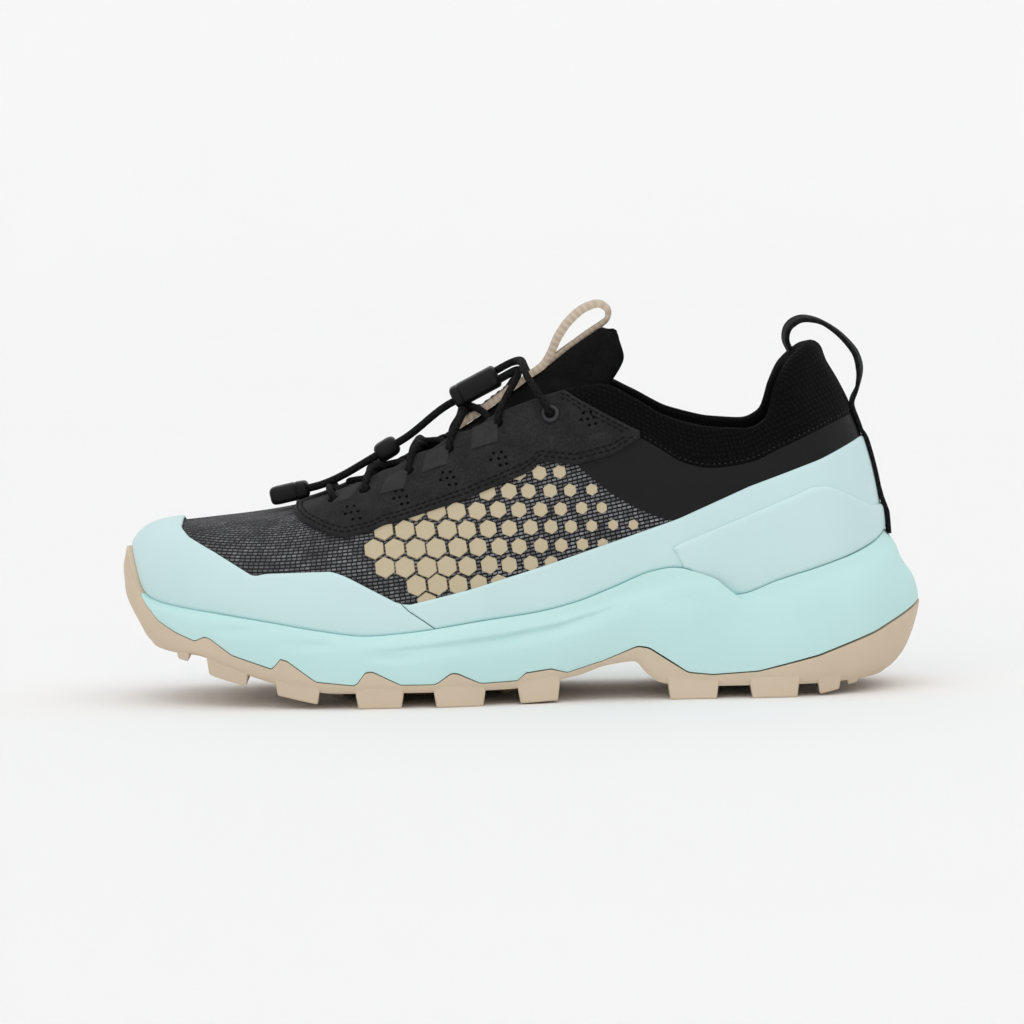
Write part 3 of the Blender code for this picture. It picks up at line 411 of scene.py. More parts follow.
def shell(name, outer, inner, flat, materials, closed=False, inner_slot=0, sharp=50.0):
    """Closed sheet between an outer and an inner grid; flat is its map, one column longer if closed."""
    columns, rows = outer.shape[:2]
    below = columns * rows
    quads, maps = grid_quads(columns, rows, closed)
    rim = []
    rim_maps = []
    turn = columns if closed else columns - 1
    for k in (0, rows - 1):
        for i in range(turn):
            near = i * rows + k
            far = (i + 1) % columns * rows + k
            rim.append((near, far, far + below, near + below))
            rim_maps.append((i * rows + k, (i + 1) * rows + k, (i + 1) * rows + k, i * rows + k))
    if not closed:
        for i in (0, columns - 1):
            for k in range(rows - 1):
                near = i * rows + k
                rim.append((near, near + 1, near + 1 + below, near + below))
                rim_maps.append((near, near + 1, near + 1, near))
    faces = np.concatenate([quads, quads[:, ::-1] + below, rim])
    corners = np.concatenate([maps, maps[:, ::-1], rim_maps])
    slots = np.zeros(len(faces), int)
    slots[len(quads):2 * len(quads)] = inner_slot
    points = np.concatenate([outer.reshape(-1, 3), inner.reshape(-1, 3)])
    flat = flat.reshape(-1, 2)[corners.ravel()]
    return make_object(name, points, faces, flat, materials, slots, sharp)


def dress(item, slot, *nodes):
    """The piece rides on the shoe and stands for its nodes; its slot is not used."""
    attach(item, "root")
    if nodes:
        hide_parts(*nodes)
    print(item.name, "stands for", ", ".join(nodes) or "a detail", "with", len(item.data.vertices), "points")
    return item


def rolled(distance, radius):
    """Share of the full thickness near an edge: rises as a quarter circle over the radius."""
    return np.sqrt(np.clip(1 - (1 - np.clip(distance / radius, 0.0, 1.0)) ** 2, 0.0, 1.0))


def ramp(value, start, span):
    """Share that grows evenly from 0 at the start to 1 at the end of the span."""
    return np.clip((value - start) / span, 0.0, 1.0)


def ease(count):
    """Steps from 0 to 1 that lie closer together at both ends."""
    return (1 - np.cos(np.linspace(0.0, math.pi, count))) / 2


print("grids become closed shells with a flat map in millimetres")

# %% [markdown]
# ## Studio
# The shoe stands on a plain pale floor in even studio light, seen nearly level from its lateral
# side through a long lens.  Two wide soft suns light the floor evenly to the horizon, where
# lamps close by would fall off; a pale world fills the shadows.

# %% Camera, light and floor
def linear(hex_colour):
    """Turn an sRGB hex colour into linear values with full opacity."""
    channels = [int(hex_colour[i:i + 2], 16) / 255 for i in (1, 3, 5)]
    return [c / 12.92 if c <= 0.04045 else ((c + 0.055) / 1.055) ** 2.4 for c in channels] + [1.0]


def add_node(tree, kind, inputs=None, **settings):
    """Add a node with its settings; each input is a value, or a socket that it is linked from."""
    node = tree.nodes.new(kind)
    for name, value in settings.items():
        setattr(node, name, value)
    for name, value in (inputs or {}).items():
        if isinstance(value, bpy.types.NodeSocket):
            tree.links.new(value, node.inputs[name])
        else:
            node.inputs[name].default_value = value
    return node


def new_material(name, colour, roughness, **constants):
    """Principled material with a flat start; its patterns are linked in afterwards."""
    material = bpy.data.materials.new(name)
    material.use_nodes = True
    shader = material.node_tree.nodes["Principled BSDF"]
    shader.inputs["Base Color"].default_value = linear(colour)
    shader.inputs["Roughness"].default_value = roughness
    for socket, value in constants.items():
        shader.inputs[socket.replace("_", " ")].default_value = value
    material.diffuse_color = linear(colour)
    return material, material.node_tree, shader


def mixed(tree, share, first, second):
    """Colour between two others, each a hex colour or the output of another node."""
    ends = [linear(colour) if isinstance(colour, str) else colour for colour in (first, second)]
    mix = add_node(tree, "ShaderNodeMixRGB", {"Fac": share, "Color1": ends[0], "Color2": ends[1]})
    return mix.outputs["Color"]


scene = bpy.context.scene
scene.view_settings.view_transform = "Standard"

VIEW_HEIGHT = 0.065
VIEW_DISTANCE = 2.2
VIEW_ELEVATION = math.radians(4.5)
VIEW_ROLL = math.radians(-1.15)
FRAME_WIDTH = 0.36024
SENSOR_WIDTH = 36.0
# The picture is moved by a few of its 1024 pixels, so that the shoe sits where the photo has it.
PICTURE = 1024
VIEW_SHIFT = (-7 / PICTURE, -4 / PICTURE)
camera_data = bpy.data.cameras.new("studio_camera")
camera_data.sensor_width = SENSOR_WIDTH
camera_data.lens = SENSOR_WIDTH * VIEW_DISTANCE / FRAME_WIDTH
camera_data.shift_x, camera_data.shift_y = VIEW_SHIFT
camera = bpy.data.objects.new("studio_camera", camera_data)
scene.collection.objects.link(camera)
back = Vector((0.0, -math.cos(VIEW_ELEVATION), math.sin(VIEW_ELEVATION)))
turn = (-back).to_track_quat("-Z", "Y").to_matrix().to_4x4()
place = Matrix.Translation(Vector((0.0, 0.0, VIEW_HEIGHT)) + back * VIEW_DISTANCE)
camera.matrix_world = place @ turn @ Matrix.Rotation(VIEW_ROLL, 4, "Z")
scene.camera = camera

WORLD_STRENGTH = 0.55
world = bpy.data.worlds.new("studio_world")
world.use_nodes = True
sky = world.node_tree.nodes["Background"].inputs
sky["Color"].default_value = linear("#FFFFFF")
sky["Strength"].default_value = WORLD_STRENGTH
scene.world = world

for name, energy, spread, direction in (("top_light", 0.98, 80.0, (-0.20, 0.15, -1.0)),
                                        ("front_light", 0.64, 70.0, (0.35, 1.0, -0.75))):
    light_data = bpy.data.lights.new(name, "SUN")
    light_data.energy = energy
    light_data.angle = math.radians(spread)
    light = bpy.data.objects.new(name, light_data)
    light.rotation_euler = Vector(direction).to_track_quat("-Z", "Y").to_euler()
    scene.collection.objects.link(light)

floor_material, tree, shader = new_material("painted_studio_floor", "#F4F4F4", 0.85)
where = add_node(tree, "ShaderNodeTexCoord").outputs["Object"]
mottle = add_node(tree, "ShaderNodeTexNoise", {"Vector": where, "Scale": 3.0})
tone = mixed(tree, mottle.outputs["Fac"], "#F3F3F3", "#F5F5F5")
tree.links.new(tone, shader.inputs["Base Color"])
FLOOR_HALF = 30.0
SWEEP_START = 3.0
SWEEP_RADIUS = 4.0
sweep = [(SWEEP_START + SWEEP_RADIUS * math.sin(a), SWEEP_RADIUS * (1 - math.cos(a)))
         for a in np.linspace(0.0, math.pi / 2, 25)]
profile = [(-FLOOR_HALF, 0.0)] + sweep + [(sweep[-1][0], FLOOR_HALF)]
floor_points = [(x, y, z) for y, z in profile for x in (-FLOOR_HALF, FLOOR_HALF)]
floor_faces = [(2 * i, 2 * i + 1, 2 * i + 3, 2 * i + 2) for i in range(len(profile) - 1)]
floor_mesh = bpy.data.meshes.new("studio_floor")
floor_mesh.from_pydata(floor_points, [], floor_faces)
floor_mesh.shade_smooth()
floor_mesh.materials.append(floor_material)
studio_floor = bpy.data.objects.new("studio_floor", floor_mesh)
scene.collection.objects.link(studio_floor)
print("camera", round(math.degrees(VIEW_ELEVATION), 1), "degrees up, lens", round(camera_data.lens), "mm")

# %% [markdown]
# ## Materials of the sole and its film
# Midsole: compression-moulded EVA foam, matte with a faint pebble skin from the mould.  Outsole:
# pressed tan rubber, the dullest of the three.  Rand: smooth TPU film heat-pressed over the
# upper, so it is slicker than the foam and shows a soft highlight.  Each gets its pattern from
# object coordinates, with a grain about as coarse as the render can show.

# %% Foam, rubber and film
BLOTCH = 30.0
ROUGH_SWING = 0.06


def noise(tree, where, size_mm, detail, **more):
    """Noise of a size in millimetres."""
    inputs = {"Vector": where, "Scale": 1000 / size_mm, "Detail": detail, **more}
    return add_node(tree, "ShaderNodeTexNoise", inputs).outputs["Fac"]


def finished(tree, shader, colour, height, strength, bump_mm):
    """Link a colour and a bump, whose full height is in millimetres, into the shader."""
    inputs = {"Height": height, "Strength": strength, "Distance": bump_mm * MM}
    bump = add_node(tree, "ShaderNodeBump", inputs)
    tree.links.new(colour, shader.inputs["Base Color"])
    tree.links.new(bump.outputs["Normal"], shader.inputs["Normal"])


def grained(name, colours, roughness, grain_mm, bump_mm, **constants):
    """Moulded skin: a slow drift between two tones and a fine grain in bump and roughness."""
    material, tree, shader = new_material(name, colours[0], roughness, **constants)
    where = add_node(tree, "ShaderNodeTexCoord").outputs["Object"]
    tone = mixed(tree, noise(tree, where, BLOTCH, 3.0), *colours)
    grain = noise(tree, where, grain_mm, 2.0)
    swing = {"Value": grain, "To Min": roughness - ROUGH_SWING, "To Max": roughness + ROUGH_SWING}
    rough = add_node(tree, "ShaderNodeMapRange", swing)
    tree.links.new(rough.outputs["Result"], shader.inputs["Roughness"])
    finished(tree, shader, tone, grain, 0.5, bump_mm)
    return material


foam = grained("moulded_eva_foam_mint", ("#BEE3E1", "#C6E8E6"), 0.60, 1.1, 0.10, IOR=1.45)
rubber = grained("pressed_rubber_tan", ("#CDBAA1", "#D7C5AE"), 0.72, 0.9, 0.12, IOR=1.52)
film = grained("pressed_tpu_film_mint", ("#C5E1E1", "#CEE6E7"), 0.50, 1.4, 0.03, IOR=1.5)
film_tan = grained("printed_tpu_film_tan", ("#BCAD8E", "#C4B597"), 0.58, 0.8, 0.04, IOR=1.5)
quarter_film = grained("pressed_tpu_film_black", ("#171717", "#1B1B1B"), 0.60, 0.7, 0.05, IOR=1.5,
                       Specular_IOR_Level=0.15)
nylon = grained("moulded_nylon_black", ("#0A0A0B", "#101011"), 0.45, 0.8, 0.04, IOR=1.53,
                Specular_IOR_Level=0.2)
print("moulded materials:", [m.name for m in (foam, rubber, film, film_tan, quarter_film, nylon)])

# %% [markdown]
# ## Sole
# The real sole is a foam midsole glued into a rubber outsole whose fingers climb its side.  Both
# have one common side, so that side is lofted once: each column is a flowing curve from the
# tread to the rim, and the seam line cuts it in two.  A Boolean could cut them, but a direct cut
# keeps clean rows that take the soft groove and scoops of the mould.

# %% Tables of the sole
CUP_GAP = 0.45
SOLE_LIP = 2.6
HEEL_LIP = 1.4
LIP_FADE = 0.8
TREAD_BASE = table("s z", """
      0  22.0
     11  21.0
     17  18.5
     27  18.0
     38  14.0
     47  11.0
     60   7.5
     75   5.5
    105   5.3
    135   5.5
    150   7.5
    160   9.5
    169  12.4
    179  13.6
    183   9.5
    188   6.0
    200   4.4
    241   4.5
    252   4.9
    262   5.4
    270   6.8
    280  10.0
""")
SIDE_FORM = table("share foot low h16 h32 h50 h66 h80 h92", """
    0.00  17.0  12.0   9.2   4.4   1.0   0.3   0.0   0.8
    0.08  12.0   7.5   5.4   2.6   0.8   0.2   0.0   0.6
    0.18   6.0   3.5   2.0   1.0   0.4   0.0   0.2   1.0
    0.35   3.2   2.0   1.0   0.4   0.0   0.0   0.4   1.4
    0.50   3.5   2.4   1.4   0.6   0.1   0.0   0.6   1.8
    0.62   4.0   3.0   2.0   1.0   0.2   0.0   0.8   2.6
    0.72   4.0   2.8   1.6   0.6   0.0   0.0   0.6   2.0
    0.85   8.5   5.8   3.5   1.6   0.3   0.3   1.6   3.8
    1.00  14.0   9.4   5.3   1.9   0.0   1.8   6.5   9.0
""")
SIDE_HEIGHTS = (0.0, 0.06, 0.16, 0.32, 0.50, 0.66, 0.80, 0.92)
SEAM_BASE = table("s z", """
      6.6  90.0
      7.0  38.0
      9.0  35.0
     13.5  30.0
     19.5  26.3
     26.0  23.6
     40.0  18.6
     53.0  14.2
     69.0   9.6
     82.0   8.3
    126.0   8.0
    138.0   8.4
    156.0  10.6
    166.0  13.6
    198.0   9.3
    206.0   8.4
    222.0   9.4
    243.0  14.4
    263.0  21.5
    277.0  28.5
    290.0  36.0
""")
FINGERS = table("start crest crest_end end rise", """
     26.5   30.0   32.0   39.5   2.9
     53.5   56.6   58.7   68.5   4.4
     82.5   86.0   88.5   98.0   4.7
    110.0  115.4  117.5  125.5   3.8
    138.5  141.0  150.0  155.5   2.2
    166.5  180.0  184.0  197.5   7.2
""")
tread_base = side_line(TREAD_BASE, smooth=True)


def seam_line():
    """Side-view line of the seam: the base line with the fingers standing on it."""
    spots = list(zip(SEAM_BASE["s"], SEAM_BASE["z"]))
    base = side_line(SEAM_BASE)
    for start, crest, crest_end, end, rise in zip(*FINGERS.values()):
        spots = [spot for spot in spots if not start < spot[0] < end]
        spots += [(start, base(start)), (end, base(end))]
        spots += [(s, base(s) + rise) for s in (crest, crest_end)]
    spots = np.array(sorted(spots))
    return lambda place: np.interp(place, spots[:, 0], spots[:, 1])


seam = seam_line()
print("seam at the ball", round(float(seam(105.0)), 1), "mm over the floor")

# %% Common side of the sole
SOLE_SIDE = 300
SIDE_STEPS = 81
sole_shares = np.linspace(0.0, 1.0, SOLE_SIDE + 1)
sole_ring_shares = np.concatenate([sole_shares, sole_shares[-2:0:-1]])
sole_medial = np.arange(len(sole_ring_shares)) > SOLE_SIDE
side_place = sole_ring_shares * SIDE_COLUMNS
sole_columns = np.where(sole_medial, COLUMNS - side_place, side_place)


def flow(points, count):
    """Flowing curves through rows of knots (columns, knots, 3), read at an even count of steps."""
    tangents = np.gradient(points, axis=1)
    place = np.linspace(0.0, points.shape[1] - 1, count)
    i = np.minimum(place.astype(int), points.shape[1] - 2)
    t = (place - i)[None, :, None]
    return blend(points[:, i], tangents[:, i], points[:, i + 1], tangents[:, i + 1], t)


outline = plan_ring(SOLE_PLAN, sole_ring_shares, sole_medial)
sole_out = outward(outline)
rim_levels = ring_value(crossing_levels(sole_rim), sole_columns)
rim_inner = on_skin(sole_columns, rim_levels, CUP_GAP)
rim_z = on_skin(sole_columns, rim_levels)[:, 2]
insets = [by_share(SIDE_FORM, name, sole_ring_shares) for name in list(SIDE_FORM)[1:]]
foot_z = tread_base((outline - sole_out * insets[0][:, None])[:, 0])
knots = []
for height, inset in zip(SIDE_HEIGHTS, insets):
    plan = outline - sole_out * inset[:, None]
    knots.append(np.column_stack([plan, foot_z + (rim_z - foot_z) * height]))
lip = SOLE_LIP + (HEEL_LIP - SOLE_LIP) * ramp(sole_ring_shares, LIP_FADE, 1 - LIP_FADE)
rim_outer = rim_inner[:, :2] + outward(rim_inner[:, :2]) * lip[:, None]
knots.append(np.column_stack([rim_outer, rim_z]))
sole_sides = flow(np.stack(knots, axis=1), SIDE_STEPS)
over_seam = sole_sides[:, :, 2] - seam(sole_sides[:, :, 0])
has_midsole = (over_seam > 0).any(axis=1)
seam_step = np.where(has_midsole, np.argmax(over_seam > 0, axis=1), SIDE_STEPS - 1)
before = np.take_along_axis(over_seam, np.maximum(seam_step - 1, 0)[:, None], 1)[:, 0]
after = np.take_along_axis(over_seam, seam_step[:, None], 1)[:, 0]
seam_step = np.where(has_midsole, seam_step - 1 + before / np.minimum(before - after, -1e-9), seam_step)
print("columns with foam:", int(has_midsole.sum()), "of", len(has_midsole))


def side_at(step):
    """Points of the sole's side at one step (columns) or several steps (columns, rows)."""
    step = np.clip(step, 0.0, SIDE_STEPS - 1.0)
    i = np.minimum(step.astype(int), SIDE_STEPS - 2)
    t = (step - i)[..., None]
    column = np.arange(len(step)).reshape((-1,) + (1,) * (step.ndim - 1))
    return sole_sides[column, i] * (1 - t) + sole_sides[column, i + 1] * t


# %% [markdown]
# The foam's side is not plain: the mould leaves one long soft groove that rises to the arch, a
# shallow scoop over each front finger, and two wider scoops at the heel.  They are soft troughs
# a millimetre or so deep, set in millimetres where they lie on the shoe.

# %% Midsole
GROOVE = table("s z depth", """
     84  19.2  0.0
    102  20.4  1.0
    132  23.4  1.6
    152  26.5  1.6
    165  30.1  1.1
    179  34.8  0.0
""")
# The groove is a ledge: sharp above its line, soft below.
GROOVE_HALF = 3.2
LEDGE_HALF = 0.9
SCOOPS = table("s z half_length half_height depth", """
     41  27.4   8.0  1.7  0.8
     67  22.4   8.0  1.6  0.8
     95  17.8   8.5  1.5  0.6
    222  27.0  24.0  6.0  0.5
    196  35.0   9.0  4.0  0.7
""")
SEAM_HALF = 0.7
MID_ROWS = 44
INNER_DEPTH = 9.0
RIM_FADE = 6
SEAM_FADE = 3
CUP_SHARES = (1.0, 0.75, 0.5, 0.25, 0.0)


def trough_depth(s, z):
    """Depth of the groove and the scoops at places on the side of the sole."""
    line = np.interp(s, GROOVE["s"], GROOVE["z"])
    half = np.where(z > line, LEDGE_HALF, GROOVE_HALF)
    depth = np.interp(s, GROOVE["s"], GROOVE["depth"]) * np.exp(-((z - line) / half) ** 2)
    for at_s, at_z, half_length, half_height, deep in zip(*SCOOPS.values()):
        depth = depth + deep * np.exp(-((s - at_s) / half_length) ** 2 - ((z - at_z) / half_height) ** 2)
    return depth


foam_ring = np.nonzero(has_midsole)[0]
start_step = seam_step + SEAM_HALF
rows = start_step[:, None] + (SIDE_STEPS - 1 - start_step)[:, None] * np.linspace(0.0, 1.0, MID_ROWS)
side = side_at(rows)
fade = ramp(SIDE_STEPS - 1 - rows, 0, RIM_FADE) * ramp(rows - seam_step[:, None], 0, SEAM_FADE)
side[..., :2] -= sole_out[:, None] * (trough_depth(side[..., 0], side[..., 2]) * fade)[..., None]
seam_foot = side[:, 0].copy()
seam_foot[:, :2] -= sole_out * INNER_DEPTH
cup = [on_skin(sole_columns, rim_levels * share, CUP_GAP) for share in CUP_SHARES]
cup[0][:, 2] = rim_z
sections = [seam_foot[:, None], side, np.stack(cup, axis=1), seam_foot[:, None]]
sections = np.concatenate(sections, axis=1)[foam_ring]
columns, count = sections.shape[:2]
way = way_along(sections, 1)
flat = np.stack([np.broadcast_to(sections[:, :1, 0], way.shape), way], axis=-1).reshape(-1, 2)
quads, maps = grid_quads(columns, count, False)
ends = [list(range(count - 1)), [(columns - 1) * count + k for k in range(count - 1)]]
faces = [list(face) for face in quads] + ends
flat_corners = np.concatenate([maps.ravel()] + [np.array(end) for end in ends])
midsole = make_object("midsole_foam", sections.reshape(-1, 3), faces, flat[flat_corners], [foam], sharp=40.0)
dress(midsole, "midsole_foam", "midsole")

# %% [markdown]
# The rubber is one pressed piece: a bumper at the toe, a thin wall up to the seam, and a tread of
# lugs.  The wall stands a little proud of the foam, as pressed rubber does.

# %% Outsole body
PROUD = 0.35
OUT_ROWS = 26
LEDGE_START = 2.0
LEDGE_STEP = 1.5
end_step = np.where(has_midsole, seam_step - SEAM_HALF / 2, SIDE_STEPS - 1.0)
rows = end_step[:, None] * np.linspace(0.0, 1.0, OUT_ROWS)
wall = side_at(rows)
wall[..., :2] += (sole_out * np.where(has_midsole, PROUD, 0.0)[:, None])[:, None]
hidden = []
for order, share in enumerate(CUP_SHARES):
    bumper = on_skin(sole_columns, rim_levels * share, CUP_GAP)
    ledge = wall[:, -1].copy()
    ledge[:, :2] -= sole_out * (LEDGE_START + LEDGE_STEP * order)
    hidden.append(np.where(has_midsole[:, None], ledge, bumper))
rings = np.concatenate([wall, np.stack(hidden, axis=1)], axis=1)
columns, count = rings.shape[:2]
quads, maps = grid_quads(columns, count, True)
rungs = []
for end in (0, count - 1):
    for j in range(SOLE_SIDE):
        rung = dict.fromkeys([j, j + 1, columns - j - 1, (columns - j) % columns])
        rungs.append([corner * count + end for corner in rung])
flat = np.stack([rings[..., 0], rings[..., 2]], axis=-1)
flat = np.concatenate([flat, flat[:1]]).reshape(-1, 2)
flat_corners = np.concatenate([maps.ravel()] + [np.array(rung) for rung in rungs])
faces = [list(face) for face in quads] + rungs
outsole = make_object("outsole_rubber", rings.reshape(-1, 3), faces, flat[flat_corners], [rubber], sharp=40.0)
dress(outsole, "outsole_rubber", "outsole")

# %% Tread lugs
LUG_FLOOR = table("s z", """
     17  17.0
     25  15.4
     31  11.5
     45   7.6
     56   4.6
     70   1.6
     82   0.0
    129   0.0
    140   0.4
    156   0.9
    188   0.0
    237   0.0
    246   1.1
    254   3.2
    262   5.2
""")
EDGE_LUGS = table("front back reach", """
     19    25    13
     30    45.5  22
     54    70.3  27
     82    99.3  28
    109   127.5  27
    138   153.4  24
    190   208.5  22
    218.5 236.5  22
    242   251.3  18
    252.2 258    13
""")
MIDDLE_LUGS = table("s half_length half_width", """
     38   4.0   9.0
     51   4.5  11.0
     77   5.0  13.0
    105   5.0  13.0
    133   5.0  10.0
    202   6.0  11.0
    228   6.0  11.0
""")
LUG_TUCK = table("s inset", """
     19   3.4
     54   0.0
    219   0.0
    242   2.5
    252   6.0
""")
LUG_DRAFT = 1.2
LUG_SIDE_INSET = 2.4
LUG_ROOT = 2.0
EDGE_ROOT = 4.5
UNDER_SEAM = 0.8
LUG_ROUND = 0.7
LUG_PLACES = 5
FLUSH = 0.15
lug_floor = side_line(LUG_FLOOR, smooth=True)


def wall_reach(s, z, medial):
    """How far the side of the sole reaches out from the middle at a place along it and a height."""
    walls = sole_sides[sole_medial == medial]
    spots = np.array([[np.interp(z, wall[:, 2], wall[:, i]) for i in (0, 1)] for wall in walls])
    order = np.argsort(spots[:, 0])
    return abs(np.interp(s, spots[order, 0], spots[order, 1]))


def edge_lug(row, medial):
    """Corners of an edge lug at the floor and at its root, which ends flush in the side of the sole."""
    front, back, reach = row
    sign = 1.0 if medial else -1.0
    places = np.linspace(front, back, LUG_PLACES)
    share = np.arccos(1 - 2 * places / LENGTH) / math.pi
    plan = np.abs(plan_ring(SOLE_PLAN, share, np.full(len(share), medial))[:, 1])
    low_edge = plan - LUG_SIDE_INSET - np.interp(front, LUG_TUCK["s"], LUG_TUCK["inset"])
    tops = np.minimum(tread_base(places) + EDGE_ROOT, seam(places) - UNDER_SEAM)
    high_edge = np.array([wall_reach(s, z, medial) - FLUSH for s, z in zip(places, tops)])
    inner = low_edge.min() - reach
    low_places = places + np.linspace(LUG_DRAFT, -LUG_DRAFT, LUG_PLACES)
    low = [(s, sign * y, float(lug_floor(s))) for s, y in zip(low_places, low_edge)]
    low += [(s, sign * (inner + LUG_DRAFT), float(lug_floor(s))) for s in (low_places[-1], low_places[0])]
    high = [(s, sign * y, z) for s, y, z in zip(places, high_edge, tops)]
    high += [(s, sign * inner, float(tread_base(s)) + LUG_ROOT) for s in (places[-1], places[0])]
    return low, high


def middle_outline(row, draft):
    """Corners of a six-sided lug in plan, drawn in by the draft."""
    s, half_length, half_width = row
    tip = half_length - draft
    wing = half_width - draft
    corners = ((-tip, -0.5), (0.0, -1.0), (tip, -0.5), (tip, 0.5), (0.0, 1.0), (-tip, 0.5))
    return [(s + along, wing * across) for along, across in corners]


blocks = [edge_lug(row, medial) for row in zip(*EDGE_LUGS.values()) for medial in (False, True)]
for row in zip(*MIDDLE_LUGS.values()):
    blocks.append(([(s, y, float(lug_floor(s))) for s, y in middle_outline(row, LUG_DRAFT)],
                   [(s, y, float(tread_base(s)) + LUG_ROOT) for s, y in middle_outline(row, 0.0)]))
points = []
faces = []
for low, high in blocks:
    count = len(low)
    first = len(points)
    points += low + high
    faces += [list(range(first, first + count)), list(range(first + count, first + 2 * count))]
    for i in range(count):
        k = (i + 1) % count
        faces.append([first + i, first + k, first + count + k, first + count + i])
points = np.array(points)
flat = np.concatenate([points[face][:, :2] for face in faces])
lugs = make_object("outsole_lugs", points, faces, flat, [rubber], sharp=30.0)
bevel = lugs.modifiers.new("moulded edges", "BEVEL")
bevel.width = LUG_ROUND * MM
bevel.segments = 2
bevel.limit_method = "ANGLE"
dress(lugs, "outsole_rubber")

# %% [markdown]
# ## Cloth of the upper
# Four cloths make the upper.  The vamp is an open woven mesh, light threads over dark ones; the
# collar is a ribbed sock knit; the eyestay is a napped microfibre like suede; the lining is a
# brushed tricot.  Weave and knit are read from the piece's own flat map, so that they run with
# the cloth round the foot; a nap has no direction and is read from object coordinates.  Threads
# are drawn about as coarse as the render can show.

# %% Woven mesh, knit, microfibre and tricot
def flat_map(tree, turn=0.0):
    """The piece's flat map in metres, turned by an angle in degrees."""
    flat = add_node(tree, "ShaderNodeUVMap", uv_map="flat").outputs["UV"]
    rotation = (0.0, 0.0, math.radians(turn))
    return add_node(tree, "ShaderNodeMapping", {"Vector": flat, "Rotation": rotation}).outputs["Vector"]


def waves(tree, flat, pitch_mm, direction, **more):
    """Even bands across the flat map; the texture has ten of them in every pi units at scale 1."""
    inputs = {"Vector": flat, "Scale": math.pi / 10 / (pitch_mm * MM), **more}
    return add_node(tree, "ShaderNodeTexWave", inputs, bands_direction=direction).outputs["Fac"]


def combined(tree, first, second, operation="MULTIPLY"):
    """Value of two patterns taken together."""
    return add_node(tree, "ShaderNodeMath", {0: first, 1: second}, operation=operation).outputs["Value"]


# Woven mesh: short light floats in slanted rows over a dark ground, which reads as a grey sparkle.
# Its contrast is softer towards the toe.
DASH_LENGTH = 1.75
DASH_ROW = 1.3
DASH_STRETCH = 1.5
DASH_GAP = 0.36
DASH_SLANT = -6.0
PATCH_SIZE = 9.0
TOE_SOFTNESS = {"From Min": 0.0, "From Max": -0.10, "To Min": 0.0, "To Max": 0.32}
mesh_cloth, tree, shader = new_material("woven_mesh_dark_grey", "#2A2A2D", 0.88, Sheen_Weight=0.03,
                                        Specular_IOR_Level=0.15)
flat = flat_map(tree, DASH_SLANT)
stretched = add_node(tree, "ShaderNodeMapping", {"Vector": flat, "Scale": (DASH_STRETCH, 1.0, 1.0)})
dashes = add_node(tree, "ShaderNodeTexBrick", {
    "Vector": stretched.outputs["Vector"], "Color1": linear("#B4B4B6"), "Color2": linear("#74747A"),
    "Mortar": linear("#121214"), "Scale": 1.0, "Mortar Size": DASH_GAP * MM, "Mortar Smooth": 0.4,
    "Bias": 0.0, "Brick Width": DASH_LENGTH * DASH_STRETCH * MM, "Row Height": DASH_ROW * MM,
}, offset=0.15, offset_frequency=2)
shade = mixed(tree, noise(tree, flat, PATCH_SIZE, 2.0), dashes.outputs["Color"], "#1A1A1C")
where = add_node(tree, "ShaderNodeTexCoord").outputs["Object"]
along = add_node(tree, "ShaderNodeSeparateXYZ", {"Vector": where}).outputs["X"]
toe_share = add_node(tree, "ShaderNodeMapRange", {"Value": along, **TOE_SOFTNESS}).outputs["Result"]
lift = combined(tree, 1.0, dashes.outputs["Fac"], "SUBTRACT")
finished(tree, shader, mixed(tree, toe_share, shade, "#3E3E40"), lift, 0.8, 0.25)

# Sock knit: fine upright ribs of loops, black, with a soft bloom of fibre at the edges.
RIB = 1.974
LOOP = 1.7765
knit, tree, shader = new_material("ribbed_sock_knit_black", "#0C0C0D", 0.95, Sheen_Weight=0.02,
                                  Specular_IOR_Level=0.08)
flat = flat_map(tree)
ribs = waves(tree, flat, RIB, "X", **{"Distortion": 1.6, "Detail": 2.0, "Detail Scale": 2.0})
height = combined(tree, ribs, waves(tree, flat, LOOP, "Y", Distortion=3.0, Detail=2.0))
finished(tree, shader, mixed(tree, height, "#070708", "#121213"), height, 0.7, 0.25)

# Size of the brushed patches of a short-haired cloth and of the threads in a woven tape.
BRUSHED = 7.0
THREAD = 0.6


def napped(name, colours, roughness, nap_mm, bump_mm, **constants):
    """Short-haired cloth: brushed patches of two tones and a fine fibre grain."""
    material, tree, shader = new_material(name, colours[0], roughness, **constants)
    where = add_node(tree, "ShaderNodeTexCoord").outputs["Object"]
    fibre = noise(tree, where, nap_mm, 3.0)
    both = combined(tree, noise(tree, where, BRUSHED, 4.0, Roughness=0.65), fibre)
    share = add_node(tree, "ShaderNodeMapRange", {"Value": both, "From Min": 0.12, "From Max": 0.42})
    finished(tree, shader, mixed(tree, share.outputs["Result"], *colours), fibre, 0.6, bump_mm)
    return material


microfibre = napped("napped_microfibre_black", ("#1D1D1E", "#303031"), 0.9, 0.8, 0.15, Sheen_Weight=0.05,
                    Sheen_Roughness=0.4, Specular_IOR_Level=0.15)
tricot = napped("brushed_tricot_lining_black", ("#050506", "#0B0B0C"), 0.95, 0.7, 0.10,
                Specular_IOR_Level=0.05)
tongue_cloth = napped("fine_tongue_knit_black", ("#0A0A0B", "#151516"), 0.95, 0.9, 0.14,
                      Specular_IOR_Level=0.08)
insole_cloth = napped("brushed_insole_cloth_black", ("#0B0B0C", "#131314"), 0.95, 0.9, 0.12,
                      Specular_IOR_Level=0.08)


